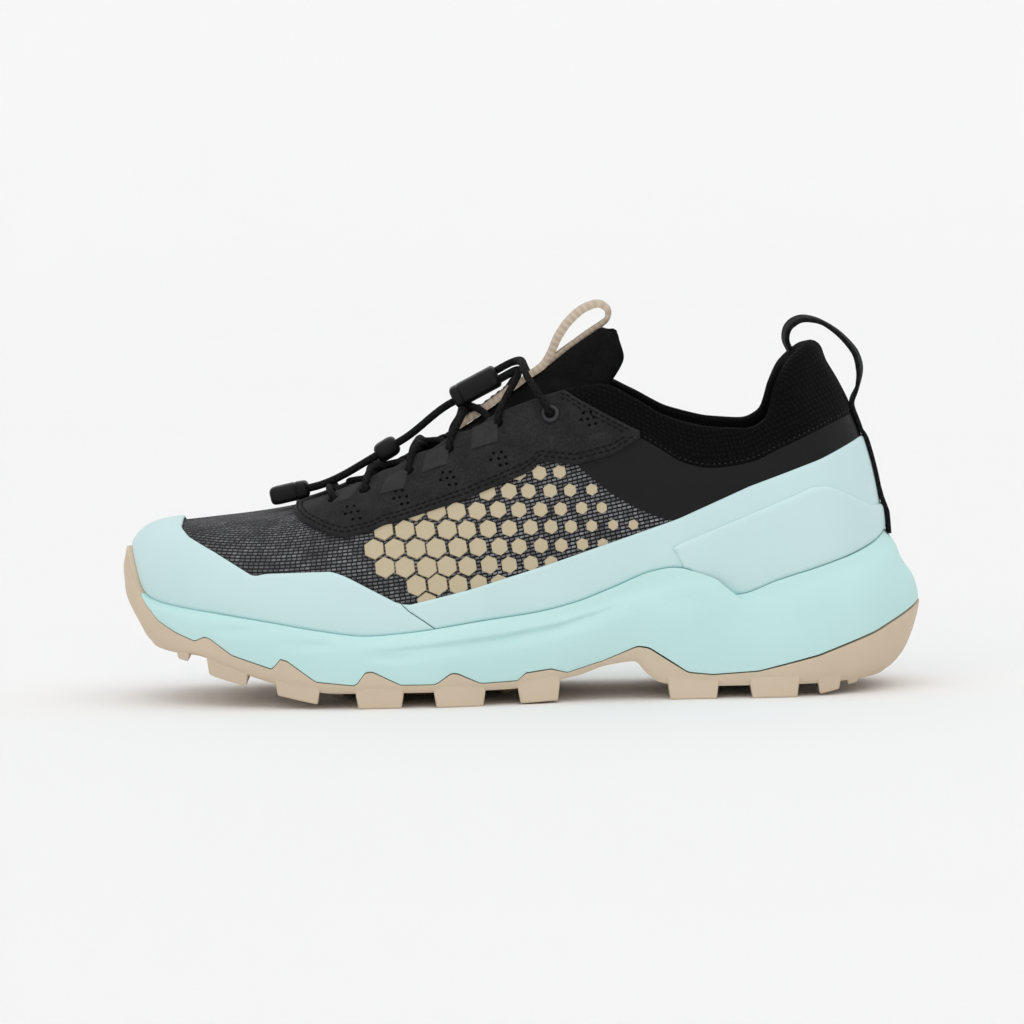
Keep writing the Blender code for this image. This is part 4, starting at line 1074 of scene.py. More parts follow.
def taped(name, colours, rib_mm, roughness, **constants):
    """Woven tape: cross ribs of weft, with a finer thread grain along them."""
    material, tree, shader = new_material(name, colours[0], roughness, **constants)
    flat = flat_map(tree)
    ribs = waves(tree, flat, rib_mm, "Y", Distortion=0.4, Detail=1.0)
    height = combined(tree, ribs, noise(tree, flat, THREAD, 2.0))
    finished(tree, shader, mixed(tree, height, *colours), height, 0.8, 0.3)
    return material


# The tan tape's two tones are its colour in light and in shade, so its rib crests carry painted light and its
# rib grooves carry painted shade.
tan_tape = taped("woven_polyester_tape_tan", ("#B8A690", "#DBCBB9"), 2.171, 0.8, Sheen_Weight=0.15)
black_webbing = taped("ribbed_nylon_webbing_black", ("#080809", "#1C1C1D"), 3.158, 0.75,
                      Specular_IOR_Level=0.12)
cloths = (mesh_cloth, knit, microfibre, tricot, tongue_cloth, insole_cloth, tan_tape, black_webbing)
print("cloths:", [cloth.name for cloth in cloths])

# %% [markdown]
# ## Upper
# One bootie of mesh runs all the way round and under the other panels.  It is the skin itself,
# two millimetres thick, open at collar, throat and underneath, with the tricot on its inside.

# %% Mesh bootie with lining
BOOTIE_ROWS = 56
COLUMN_RISE = 60.0
COLLAR_FRONT = 0.53
COLLAR_FADE = 0.03
THROAT_DROP = 6.6
COLLAR_DROP = 3.4
levels = np.linspace(0.0, 1.0, BOOTIE_ROWS)
all_columns = np.arange(COLUMNS)[:, None]
drop = THROAT_DROP + (COLLAR_DROP - THROAT_DROP) * ramp(SHARES, COLLAR_FRONT, COLLAR_FADE)
half_wall = WALL / 2 * rolled((1 - levels) * COLUMN_RISE, WALL / 2)
levels = levels * (1 - drop / COLUMN_LENGTH)[:, None]
outer = on_skin(all_columns, levels, -WALL / 2 + half_wall)
inner = on_skin(all_columns, levels, -WALL / 2 - half_wall)
flat = flat_place(np.arange(COLUMNS + 1)[:, None], np.concatenate([levels, levels[:1]]))
bootie = shell("mesh_bootie", outer, inner, flat, [mesh_cloth, tricot], closed=True, inner_slot=1)
dress(bootie, "upper_textile", "upper")

# %% [markdown]
# ## Film overlays
# Rands, counter, quarter and eyestay are cut from sheet and pressed or sewn on the bootie.  Each
# is a patch of the skin between two lines drawn in side view, with its edge rolled down.

# %% Patch maker
LEAST_TALL = 0.012


def patch(first, last, low, high, columns, rows, limit=1.0):
    """Columns, levels and edge distances in millimetres of a patch between two side-view lines.

    first and last give the end columns for each row share, so that an end may slant."""
    share = ease(rows)
    start = first(share)
    end = last(share)
    column = start + (end - start) * ease(columns)[:, None]
    bottom = ring_value(crossing_levels(low), column)
    ceiling = limit(column) if callable(limit) else limit
    top = np.minimum(ring_value(crossing_levels(high), column), ceiling)
    top = np.maximum(top, bottom + LEAST_TALL)
    level = bottom + (top - bottom) * share
    tall = (top - bottom) * ring_value(COLUMN_LENGTH, column)
    around = flat_place(column, level)[..., 0]
    to_edge = np.minimum.reduce([share * tall, (1 - share) * tall, around - around[:1], around[-1:] - around])
    return column, level, to_edge


def overlay(name, spots, materials, lift, thickness, roll, least=0.3):
    """Sheet on the skin over a patch, its edge rolled down to a share of the thickness."""
    column, level, to_edge = spots
    full = least + (1 - least) * rolled(to_edge, roll)
    outer = on_skin(column, level, lift + thickness * full)
    inner = on_skin(column, level, lift)
    return shell(name, outer, inner, flat_place(column, level), materials, sharp=60.0)


def between(low_share, high_share, medial=False):
    """End of a patch that slants from a share at its lower edge to another at its upper edge."""
    return lambda t: column_at(low_share + (high_share - low_share) * t, medial)


def mirrored(end, turn=COLUMNS):
    """The same end of a patch on the other side of the foot."""
    return lambda t: turn - end(t)


def moved(line, rise):
    """A side-view line moved up by a rise, or down if it is negative."""
    return lambda place: line(place) + rise


RAND_EDGE = table("s z", """
      0  110.0
     20   90.0
     22   60.6
     25   58.0
     34   53.5
     48   45.5
     52   46.5
     75   47.2
     80   45.4
     97   36.4
    101   35.4
    123   40.4
    151   48.4
    173   55.4
    195   62.6
    220   73.4
    245   82.0
    259   88.0
    275   90.0
""")
COUNTER_EDGE = table("s z", """
    180  44.0
    195  54.0
    242  72.6
    247  72.6
    252  70.0
    262  64.5
    275  63.0
""")
RAND_THICKNESS = 1.0
TOE_LIFT = 0.65
COUNTER_SINK = 0.25
rand_edge = side_line(RAND_EDGE)
counter_edge = side_line(COUNTER_EDGE)
rand_foot = moved(sole_rim, 0.1)
counter_foot = moved(sole_rim, 0.25)
toe_end = between(0.434, 0.404)
spots = patch(mirrored(toe_end, 0), toe_end, rand_foot, rand_edge, columns=220, rows=40)
toe_rand = overlay("toe_rand_film", spots, [film], TOE_LIFT, RAND_THICKNESS, roll=1.4)
dress(toe_rand, "rand_film", "toe_rand")
heel_start = between(0.4348, 0.4048)
spots = patch(heel_start, mirrored(heel_start), rand_foot, rand_edge, columns=260, rows=40)
heel_rand = overlay("heel_rand_film", spots, [film], GAP, RAND_THICKNESS, roll=1.2)
dress(heel_rand, "rand_film", "heel_rand")
counter_start = between(0.655, 0.645)
spots = patch(counter_start, mirrored(counter_start), counter_foot, counter_edge, columns=160, rows=36)
counter = overlay("heel_counter_film", spots, [film], 2 * GAP + RAND_THICKNESS - COUNTER_SINK,
                  thickness=1.25, roll=2.2, least=0.15)
dress(counter, "rand_film", "heel_counter")

# %% [markdown]
# The quarter is a plain black film from the eyestay back to the heel.  Its upper edge follows the
# line where the sock knit of the collar comes out.

# %% Quarter
KNIT_LINE = table("s z", """
    150  104.0
    160  100.5
    170   96.6
    180   92.2
    188   87.8
    198   81.8
    207   80.0
    220   81.6
    232   86.6
    254   95.6
    264   98.6
""")
knit_line = side_line(KNIT_LINE, smooth=True)
quarter_foot = moved(rand_edge, -1.5)
quarter_start = between(0.657, 0.500)
spots = patch(quarter_start, mirrored(quarter_start), quarter_foot, knit_line, columns=200, rows=36)
quarter = overlay("quarter_film", spots, [quarter_film], lift=0.02, thickness=0.26, roll=0.6, least=0.4)
dress(quarter, "upper_textile")

# %% [markdown]
# ## Knit collar
# The collar is a padded sock: the knit climbs from the quarter, turns over the rim and goes down
# inside.  A plain thick wall would show a hard lip, so each column is a section that wraps the
# wall of the bootie, thick at the rim and thin where it is sewn in.

# %% Collar
COLLAR_PROUD = 0.55
COLLAR_PAD = 2.4
THIN_PAD = 0.3
# The pad grows from the collar's front, and again at the heel, by shares of the way to the heel.
PAD_START = 0.02
PAD_FADE = 0.09
HEEL_PAD = 2.0
HEEL_PAD_START = 0.28
HEEL_BEAD = 2.0
HEEL_BEAD_START = 0.33
HEEL_FADE = 0.08
BEAD_FADE = 4.0
COLLAR_DEPTH = 30.0
LEAST_KNIT = 4.0
SEWN_SHARE = 0.2
SEWN_ROLL = 1.5
INSIDE_GAP = 0.1
COLLAR_COLUMNS = 280
OUTER_ROWS = 26
TURN_ROWS = 11
INSIDE_ROWS = 22
collar_start = column_at(COLLAR_FRONT)
collar_shares = np.linspace(0.0, 1.0, COLLAR_COLUMNS)[:, None]
collar_columns = collar_start + (COLUMNS - 2 * collar_start) * collar_shares
length = ring_value(COLUMN_LENGTH, collar_columns)
knit_level = np.minimum(ring_value(crossing_levels(knit_line), collar_columns), 1 - LEAST_KNIT / length)
from_front = np.minimum(collar_columns, COLUMNS - collar_columns) / SIDE_COLUMNS - COLLAR_FRONT
pad = rolled(np.maximum(from_front - PAD_START, 0.0), PAD_FADE) ** 2
pad = THIN_PAD + (COLLAR_PAD - THIN_PAD) * pad
pad = pad + HEEL_PAD * ramp(from_front, HEEL_PAD_START, HEEL_FADE)
rim_proud = COLLAR_PROUD + HEEL_BEAD * ramp(from_front, HEEL_BEAD_START, HEEL_FADE)
rim_half = (rim_proud + WALL + pad) / 2
rim_level = 1 - rim_half / length
up = np.linspace(0.0, 1.0, OUTER_ROWS)
outer_level = knit_level + (rim_level - knit_level) * up
from_seam = rolled((outer_level - knit_level) * length, SEWN_ROLL)
outer_lift = COLLAR_PROUD * (SEWN_SHARE + (1 - SEWN_SHARE) * from_seam)
below_rim = (rim_level - outer_level) * length
outer_lift = outer_lift + (rim_proud - COLLAR_PROUD) * np.exp(-(below_rim / BEAD_FADE) ** 2)
angle = np.linspace(0.0, math.pi, TURN_ROWS)[1:-1]
turn_level = rim_level + rim_half / length * np.sin(angle)
turn_lift = rim_proud - rim_half + rim_half * np.cos(angle) + 0 * length
down = np.linspace(0.0, 1.0, INSIDE_ROWS)
inside_level = rim_level - COLLAR_DEPTH / length * down
inside_lift = -WALL - INSIDE_GAP - (pad - INSIDE_GAP) * (1 - down ** 2) + 0 * length
collar_level = np.concatenate([outer_level, turn_level, inside_level], axis=1)
collar_lift = np.concatenate([outer_lift, turn_lift, inside_lift], axis=1)
surface = on_skin(collar_columns, collar_level, collar_lift)
core = on_skin(collar_columns, collar_level, np.clip(collar_lift, -WALL * 0.7, -WALL * 0.3))
way = way_along(surface, 1)
flat = np.stack([np.broadcast_to(flat_place(collar_columns, 0.5)[..., 0], way.shape), way], axis=-1)
collar = shell("knit_collar", surface, core, flat, [knit], sharp=80.0)
dress(collar, "upper_textile")

# %% [markdown]
# ## Eyestay
# The eyestay carries the lace holes round the throat.  Its upper edge is scalloped between the
# holes, its lower edge sweeps along the vamp and its rear ends in a point behind the eyelet.

# %% Lace holes and eyestay
EYESTAY_THICKNESS = 1.2
EYESTAY_LIFT = 0.75
# The dressed eyestay starts lower than its solid and ends a little lower, so that no gap shows.
EYESTAY_SINK = 0.4
EYESTAY_EXTRA = 0.3
EYESTAY_END = 0.622
EYESTAY_LIMIT = 0.985
EYESTAY_LOW = table("s z", """
     50  120.0
     60   85.0
     61.5 66.2
     64.5 63.6
     69.5 61.2
     74   59.4
     79   58.2
     85   59.6
     89.5 60.6
     93   62.6
     97   63.2
    121   70.8
    144   79.8
    147   83.4
    160   82.0
    173   85.2
    181   90.0
    190   95.0
""")
EYESTAY_REAR = table("s z", """
      0  150.0
    151  150.0
    154  109.0
    160  105.0
    170   99.6
    180   94.2
    190   90.0
""")
LACE_HOLES = table("s z", """
     76.0   69.4
     87.5   72.6
    102.0   79.4
    116.5   86.6
    134.0   95.4
    153.0   98.6
""")
LAST_HOLE = 4
EYELET = 5
SCALLOP = 2.6
eyestay_low = side_line(EYESTAY_LOW)
eyestay_rear = side_line(EYESTAY_REAR)


def hole_spot(s, z, medial):
    """Column and level high on the skin that lie nearest to a side-view place."""
    columns = np.arange(20, SIDE_COLUMNS - 20)
    if medial:
        columns = COLUMNS - columns
    low = int(0.6 * FINE_STEPS)
    strip = SKIN[columns, low:]
    off = (strip[..., 0] - s) ** 2 + (strip[..., 2] - z) ** 2
    i, k = np.unravel_index(np.argmin(off), off.shape)
    return float(columns[i]), (low + k) / (FINE_STEPS - 1)


HOLES = [[hole_spot(s, z, medial) for s, z in zip(*LACE_HOLES.values())] for medial in (False, True)]


def scalloped(column):
    """Highest level of the eyestay: full at each lace hole, lower between two of them."""
    side_column = np.minimum(np.mod(column, COLUMNS), COLUMNS - np.mod(column, COLUMNS))
    spots = [hole[0] for hole in HOLES[0][:EYELET]]
    phase = np.interp(side_column, spots, np.arange(len(spots)))
    dip = SCALLOP * (1 - np.cos(2 * math.pi * phase)) / 2
    return EYESTAY_LIMIT - dip / ring_value(COLUMN_LENGTH, column)


stay_end = between(EYESTAY_END, EYESTAY_END)
spots = patch(mirrored(stay_end, 0), stay_end, eyestay_low, eyestay_rear, columns=300, rows=34,
              limit=scalloped)
eyestay = overlay("eyestay_microfibre", spots, [microfibre], EYESTAY_LIFT - EYESTAY_SINK,
                  EYESTAY_THICKNESS + EYESTAY_EXTRA, roll=1.6, least=0.35)
dress(eyestay, "eyestay_microfibre", "eyestay")

# %% [markdown]
# ## Tongue and insole
# The tongue is a padded strip of fine knit under the throat; its free top stands above the
# collar.  It is lofted through sections like those of its solid, with the pad rolled off at its
# edges and wider rear corners.
# The insole is a moulded foam sheet under brushed cloth, turned up a little at its rim.

# %% Tongue
TONGUE_THICKNESS = 3.0
TONGUE_CLEARANCE = 0.9
TONGUE_UNDERLAP = 0.90
TONGUE_ROLL = 2.2
TONGUE_ACROSS = 41
TONGUE_ALONG = 110
CURVE_STEPS = 600
TONGUE_RIDGE = table("share s z", """
    0.10   66.5   65.0
    0.16   69.0   66.6
    0.22   74.0   69.2
    0.30   83.5   73.2
    0.36   95.0   78.4
    0.43  111.0   87.4
    0.50  128.0   98.4
    0.55  140.0  107.0
    0.57  145.5  111.2
""")
TONGUE_FREE = table("ridge_s ridge_z shoulder_s shoulder_y shoulder_z edge_s edge_y edge_z", """
    157.0  120.0  163.5  16.2  118.2  175.0  19.2  113.2
    166.0  126.0  170.2  13.6  124.5  177.2  17.6  119.9
    170.0  128.6  171.0   9.0  128.0  173.5  13.5  126.4
""")


def through(points, count):
    """Points at even distances along a flowing curve through the given points."""
    points = np.asarray(points, float)
    reach = way_along(points)
    slopes = np.gradient(points, reach, axis=0)
    fine = np.linspace(0.0, reach[-1], CURVE_STEPS)
    i = np.clip(np.searchsorted(reach, fine) - 1, 0, len(reach) - 2)
    step = (reach[i + 1] - reach[i])[:, None]
    t = (fine - reach[i])[:, None] / step
    curve = blend(points[i], slopes[i] * step, points[i + 1], slopes[i + 1] * step, t)
    return even_steps(curve, count)


depth = -(WALL + TONGUE_CLEARANCE)
sections = []
for share, s, z in zip(*TONGUE_RIDGE.values()):
    near = [on_skin(column_at(share), level, depth) for level in (TONGUE_UNDERLAP, 1.0)]
    far = [on_skin(column_at(share, True), level, depth) for level in (1.0, TONGUE_UNDERLAP)]
    sections.append(through(near + [np.array([s, 0.0, z])] + far, TONGUE_ACROSS))
for row in zip(*TONGUE_FREE.values()):
    ridge_s, ridge_z, shoulder_s, shoulder_y, shoulder_z, edge_s, edge_y, edge_z = row
    edge = [(edge_s, -edge_y, edge_z), (shoulder_s, -shoulder_y, shoulder_z), (ridge_s, 0.0, ridge_z),
            (shoulder_s, shoulder_y, shoulder_z), (edge_s, edge_y, edge_z)]
    sections.append(through(edge, TONGUE_ACROSS))
tongue_knots = np.array(sections)
tongue_grid = flow(tongue_knots.transpose(1, 0, 2), TONGUE_ALONG)
RIDGE = tongue_knots[:, TONGUE_ACROSS // 2][:, [0, 2]]


def grid_ways(grid):
    """Flat map of a free grid: way across and way along, in millimetres."""
    return np.stack([way_along(grid, 0), way_along(grid, 1)], axis=-1)


ways = grid_ways(tongue_grid)
to_edge = np.minimum.reduce([ways[..., 0], ways[-1:, :, 0] - ways[..., 0], ways[:, -1:, 1] - ways[..., 1]])
down = unit(np.cross(np.gradient(tongue_grid, axis=0), np.gradient(tongue_grid, axis=1)))
roll = rolled(to_edge, TONGUE_ROLL)[..., None]
outer = tongue_grid + down * (TONGUE_THICKNESS / 2 * (1 - roll) * 0.9)
inner = tongue_grid + down * (TONGUE_THICKNESS / 2 + TONGUE_THICKNESS / 2 * roll)
tongue = shell("padded_tongue", outer, inner, ways, [tongue_cloth], sharp=80.0)
dress(tongue, "tongue_knit", "tongue")

# %% Insole
INSOLE_THICKNESS = 4.0
INSOLE_CLEARANCE = 0.5
INSOLE_ACROSS = 25
DISH_DEPTH = 1.2
DISH_REACH = 16.0
RIM_RISE = 0.6
BED_GAP = 0.1
base = plan_ring(UPPER_PLAN)
rim_plan = base - outward(base) * (WALL + INSOLE_CLEARANCE)
cross_shares = np.linspace(0.0, 1.0, INSOLE_ACROSS)
lateral_edge = rim_plan[:SIDE_COLUMNS + 1]
medial_edge = rim_plan[np.r_[0, np.arange(COLUMNS - 1, SIDE_COLUMNS - 1, -1)]]
plan = lateral_edge[:, None] + (medial_edge - lateral_edge)[:, None] * cross_shares[None, :, None]
bed = footbed(plan[..., 0])
width = np.linalg.norm(medial_edge - lateral_edge, axis=1)[:, None]
to_edge = np.minimum(cross_shares, 1 - cross_shares) * width
dish = INSOLE_THICKNESS - DISH_DEPTH * rolled(to_edge, DISH_REACH) + RIM_RISE
top = np.concatenate([plan, (bed + dish)[..., None]], axis=2)
under = np.concatenate([plan, (bed + BED_GAP)[..., None]], axis=2)
insole = shell("moulded_insole", top, under, plan, [insole_cloth], sharp=60.0)
dress(insole, "insole_cloth", "insole")

# %% [markdown]
# ## Pull loops
# Both pull loops are flat woven tape.  A tape is a path in the middle plane of the shoe and a
# width across it; its selvedges are thinner, so the thickness rolls off at both sides.

# %% Tapes
SELVEDGE = 0.45
SELVEDGE_ROLL = 1.2
TAPE_ACROSS = 9
HEEL_LOOP = ((236.9, 118.8), (235.4, 122.6), (236.3, 126.4), (239.8, 128.8), (245.0, 128.4), (251.0, 125.2),
             (255.6, 121.0), (258.8, 116.6), (260.0, 111.4), (259.2, 106.0))
# The loop rises from the tape on the tongue, turns over and comes back down on the tongue.
TONGUE_LOOP = ((150.4, 114.8), (153.0, 118.8), (155.6, 124.4), (160.0, 130.4), (165.6, 134.5), (169.6, 135.3),
               (171.7, 133.6), (171.3, 131.4), (169.6, 130.0), (166.6, 128.0), (163.0, 125.6), (159.4, 123.1),
               (156.2, 120.9), (150.4, 116.5))
HEEL_TWIST = (4.0, 7.0, 0.5, 5.0, 10.0, 1.0, 0.0, 0.0, 0.0, 0.0, 0.0)
TONGUE_TWIST = (0.0, 0.0, 0.0, 0.0, 4.0, 6.0, 6.0, 3.0, 0.0, 0.0, 0.0)
# The heel's tape runs down the skin between two heights, and stands off it by a lift.
HEEL_TAPE = (99.0, 53.6)
HEEL_TAPE_STEPS = 26
HEEL_TAPE_LIFT = table("z lift", """
    61.0   2.5
    66.0   1.3
    70.0   0.85
    87.4   0.75
    90.0  -0.05
    97.0   0.0
    99.0   0.35
""")
# Where the tongue's tape starts, and how high it lies over the ridge where it is doubled.
TAPE_START = 120.0
TAPE_TOP = 2.9


def tape(name, path, material, width, thickness, count, twist=(0.0, 0.0)):
    """Flat tape along a path of (s, z) points, its thickness growing to the left of the path.

    twist is its turn in degrees at even shares of the path."""
    line = through([(s, 0.0, z) for s, z in path], count)
    along = np.gradient(line, axis=0)
    side = unit(np.stack([-along[:, 2], 0 * along[:, 1], along[:, 0]], axis=1))
    across = (0.5 - ease(TAPE_ACROSS)) * width
    shares = np.linspace(0.0, 1.0, count)
    turn = np.radians(np.interp(shares, np.linspace(0.0, 1.0, len(twist)), twist))[:, None]
    lean = np.array([0.0, 1.0, 0.0]) * np.cos(turn) + side * np.sin(turn)
    inner = line[None] + lean[None] * across[:, None, None]
    middle = rolled(width / 2 - np.abs(across), SELVEDGE_ROLL)
    thick = thickness * (SELVEDGE + (1 - SELVEDGE) * middle)
    outer = inner + side[None] * thick[:, None, None]
    return shell(name, outer, inner, grid_ways(inner), [material], sharp=60.0)


heel_column = int(column_at(1.0))
tape_z = np.linspace(*HEEL_TAPE, HEEL_TAPE_STEPS)
tape_levels = np.interp(tape_z, SKIN[heel_column, :, 2], np.linspace(0.0, 1.0, FINE_STEPS))
tape_lift = np.interp(tape_z, HEEL_TAPE_LIFT["z"], HEEL_TAPE_LIFT["lift"])
tape_down = on_skin(column_at(1.0), tape_levels, tape_lift)[:, [0, 2]]
heel_loop = tape("heel_pull_loop", [*HEEL_LOOP, *tape_down], black_webbing, width=12.0, thickness=1.5,
                 count=150, twist=HEEL_TWIST)
dress(heel_loop, "heel_webbing", "heel_loop")


def above_ridge(s, lift):
    """Places in side view above the ridge of the tongue."""
    z = np.interp(s, RIDGE[:, 0], RIDGE[:, 1])
    slope = np.interp(s + 1, RIDGE[:, 0], RIDGE[:, 1]) - z
    up = unit(np.stack([-slope, np.ones_like(slope)], axis=-1))
    return np.stack([s, z], axis=-1) + up * np.asarray(lift)[..., None]


# The tape lies doubled on the tongue where it is sewn down.
laid = above_ridge(np.array([TAPE_START, 129.0, 138.0, 146.0]), np.array([0.3, 0.3, 0.2, -0.1]))
tongue_loop = tape("tongue_pull_loop", [*laid, *TONGUE_LOOP], tan_tape, width=10.0, thickness=2.0,
                   count=170, twist=TONGUE_TWIST)
dress(tongue_loop, "tongue_tape", "tongue_loop")
folded = above_ridge(np.array([TAPE_START + 0.3, 126.0, 132.0, 138.5]), np.full(4, 1.75))
dress(tape("tongue_tape_fold", folded, tan_tape, width=9.4, thickness=1.1, count=40), "tongue_tape")

# %% [markdown]
# ## Lacing
# The lace is one braided cord.  It lies straight across the lowest two holes, then its halves
# cross under the edges of the throat, come up out of the next holes and cross again, up to a
# spring lock.  A cord is a tube along a route; the braid is two sets of threads that slant both
# ways round it, so it is drawn from two turned waves on the tube's own flat map.

# %% Braided cord and its routes
LACE_DIAMETER = 2.5
CORD_SIDES = 14
CORD_STEP = 0.8
BRAID = 1.7765
BRAID_SLANT = 38.0
# How far under the skin a cord starts in its hole, and how high over it the cord bends.
HOLE_START = -0.8
HOLE_BEND = 1.2
braid, tree, shader = new_material("braided_polyester_cord_black", "#0D0D0E", 0.8, Specular_IOR_Level=0.12)
strands = [waves(tree, flat_map(tree, turn), BRAID, "X") for turn in (BRAID_SLANT, -BRAID_SLANT)]
height = combined(tree, *strands, "MAXIMUM")
finished(tree, shader, mixed(tree, height, "#050506", "#171718"), height, 0.7, 0.2)


def run(route):
    """Even fine points along a flowing cord through the points of a route."""
    reach = np.linalg.norm(np.diff(np.asarray(route, float), axis=0), axis=1).sum()
    return through(route, max(6, round(reach / CORD_STEP)))


def cords(name, lines, radius, material):
    """Round cords along lines of points, in one object with a flat map around and along each."""
    points, faces, flat = [], [], []
    for line in lines:
        along = unit(np.gradient(line, axis=0))
        side = [unit(np.cross(along[0], (0.3, 0.5, 0.8)))]
        for direction in along[1:]:
            side.append(unit(side[-1] - direction * (side[-1] @ direction)))
        side = np.array(side)
        angle = np.linspace(0.0, 2 * math.pi, CORD_SIDES + 1)[:, None, None]
        rings = line + radius * (np.cos(angle) * side + np.sin(angle) * np.cross(along, side))
        around = np.linspace(0.0, 2 * math.pi * radius, CORD_SIDES + 1)
        maps = np.stack(np.meshgrid(around, way_along(line), indexing="ij"), axis=-1).reshape(-1, 2)
        quads, corners = grid_quads(CORD_SIDES, len(line), True)
        start = sum(len(part) for part in points)
        ends = [[i * len(line) + k + start for i in range(CORD_SIDES)] for k in (0, len(line) - 1)]
        faces += (quads + start).tolist() + ends
        flat += [maps[corners.ravel()]] + [maps[[i * len(line) for i in range(CORD_SIDES)]]] * 2
        points.append(rings[:-1].reshape(-1, 3))
    return make_object(name, np.concatenate(points), faces, np.concatenate(flat), [material], sharp=60.0)


ON_STAY = EYESTAY_LIFT + EYESTAY_THICKNESS + LACE_DIAMETER / 2
TONGUE_GAP = 0.1
EDGE_RISE = 0.35
# Where two cords cross, one runs over the other.
UPPER_CORD = 1.9
LOWER_CORD = -0.05


def at_hole(index, medial, lift):
    """Place at a lace hole, at a lift over the skin."""
    return on_skin(*HOLES[int(medial)][index], lift)


def at_edge(s, medial, level, lift):
    """Place near the throat's edge at s; levels above 1 lie beyond the edge."""
    return on_skin(column_at(np.interp(s, TOPLINE["s"], TOPLINE["share"]), medial), level, lift)


def on_tongue(s, extra=0.0):
    """Middle of a cord that crosses the ridge of the tongue at s, or the tape that lies on it."""
    over = LACE_DIAMETER / 2 + TONGUE_GAP + extra + (TAPE_TOP if s > TAPE_START - 2 else 0.0)
    s, z = above_ridge(np.array(float(s)), over)
    return np.array([s, 0.0, z])


def out_of_hole(index, s, medial):
    """A cord that comes up out of a lace hole and bends over the eyestay's edge at s."""
    edge = at_edge(s, medial, 1.0, ON_STAY + EDGE_RISE)
    spot = at_hole(index, medial, ON_STAY + 0.2)
    up = [at_hole(index, medial, lift) for lift in (HOLE_START, HOLE_BEND)]
    return up + [spot + (edge - spot) * 0.35, edge]


def under_edge(s, medial):
    """A cord that goes down beside the tongue and under the throat's edge."""
    return [at_edge(s, medial, 1.06, -1.0), at_edge(s, medial, 0.96, -3.4)]


holes_s = LACE_HOLES["s"]
lines = []
for medial in (False, True):
    near = medial
    for index in range(LAST_HOLE):
        low, high = holes_s[index:index + 2]
        early, late = low + 0.3 * (high - low), low + 0.75 * (high - low)
        start = under_edge(early, near)[::-1] if index == 0 else out_of_hole(index, early, near)
        over = UPPER_CORD if near else LOWER_CORD
        lines.append(run(start + [on_tongue((low + high) / 2, over)] + under_edge(late, not near)))
        near = not near
halves = []
for medial in (False, True):
    up = [at_hole(0, medial, lift) for lift in (HOLE_START, HOLE_BEND)]
    halves.append(up + [at_edge(holes_s[0], medial, 1.0, ON_STAY + 0.3)])
lines.append(run(halves[0] + [on_tongue(holes_s[0])] + halves[1][::-1]))

# %% [markdown]
# The lock, the keeper and the end clip are moulded nylon.  Each is lofted from rounded sections
# along its length.  The lock grips both halves of the lace: pressing its plunger lets it slide
# along the cord.  It, the keeper and the clip stay about where the photo shows them.

# %% Lock, keeper and clip
LOCK = {"size": (18.0, 13.0, 8.0), "place": (125.5, 0.0, 107.9), "tilt": 27.0}
KEEPER = {"size": (8.5, 11.0, 7.0), "place": (94.0, 0.0, 86.6), "tilt": 30.0}
CLIP = {"size": (14.0, 9.0, 6.4), "place": (59.5, 0.0, 72.0), "tilt": 12.0}
BLOCK_SIDES = 32
BLOCK_STEPS = 61
BLOCK_ROUND = 1.5


def block_axes(block):
    """Directions along and up from a tilted block on the lace."""
    tilt = math.radians(block["tilt"])
    return np.array([math.cos(tilt), 0.0, math.sin(tilt)]), np.array([-math.sin(tilt), 0.0, math.cos(tilt)])


def moulded(name, block, square, profile):
    """Block lofted from rounded sections; profile gives the share of its size along its length."""
    along, up = block_axes(block)
    length, width, height = block["size"]
    t = np.linspace(-0.5, 0.5, BLOCK_STEPS) * (1 - 1e-4)
    shrink = BLOCK_ROUND * (1 - rolled((0.5 - np.abs(t)) * length, BLOCK_ROUND))
    share = np.interp(t, *zip(*profile))
    angle = np.linspace(0.0, 2 * math.pi, BLOCK_SIDES + 1)[:-1, None]
    bend = lambda value: np.sign(value) * np.abs(value) ** (2 / square)
    across = bend(np.cos(angle)) * (width / 2 * share - shrink)
    high = bend(np.sin(angle)) * (height / 2 * share - shrink)
    points = np.array(block["place"]) + (t * length)[None, :, None] * along
    points = points + across[..., None] * np.array([0.0, 1.0, 0.0]) + high[..., None] * up
    quads, maps = grid_quads(BLOCK_SIDES, len(t), True)
    ends = [[i * len(t) + k for i in range(BLOCK_SIDES)] for k in (0, len(t) - 1)]
    flat = np.concatenate([points, points[:1]])[..., [0, 2]].reshape(-1, 2)
    corners = np.concatenate([maps.ravel()] + ends)
    return make_object(name, points.reshape(-1, 3), quads.tolist() + ends, flat[corners], [nylon], sharp=40.0)


LOCK_FORM = ((-0.5, 0.97), (-0.34, 0.99), (-0.33, 0.95), (-0.31, 0.95), (-0.30, 1.0), (0.5, 1.0))
KEEPER_FORM = ((-0.5, 0.86), (-0.2, 1.0), (0.2, 1.0), (0.5, 0.86))
CLIP_FORM = ((-0.5, 0.92), (-0.3, 1.0), (0.14, 1.0), (0.15, 0.94), (0.19, 0.94), (0.20, 1.0), (0.5, 0.9))
dress(moulded("cord_lock_body", LOCK, 5.0, LOCK_FORM), "lace_hardware", "cord_lock")
keeper = dress(moulded("lace_keeper_barrel", KEEPER, 3.6, KEEPER_FORM), "lace_hardware", "lace_keeper")
clip = dress(moulded("lace_clip_body", CLIP, 5.0, CLIP_FORM), "lace_hardware", "lace_end_clip")

# %% Leads, top cords and tails
TAIL_SPACING = 2.1
LEAD_SPACING = 4.2
LEAD_DROP = 1.6
CORD_RUN = 6.0
TOP_BEND = 146.0
TOP_BEND_RISE = 4.0


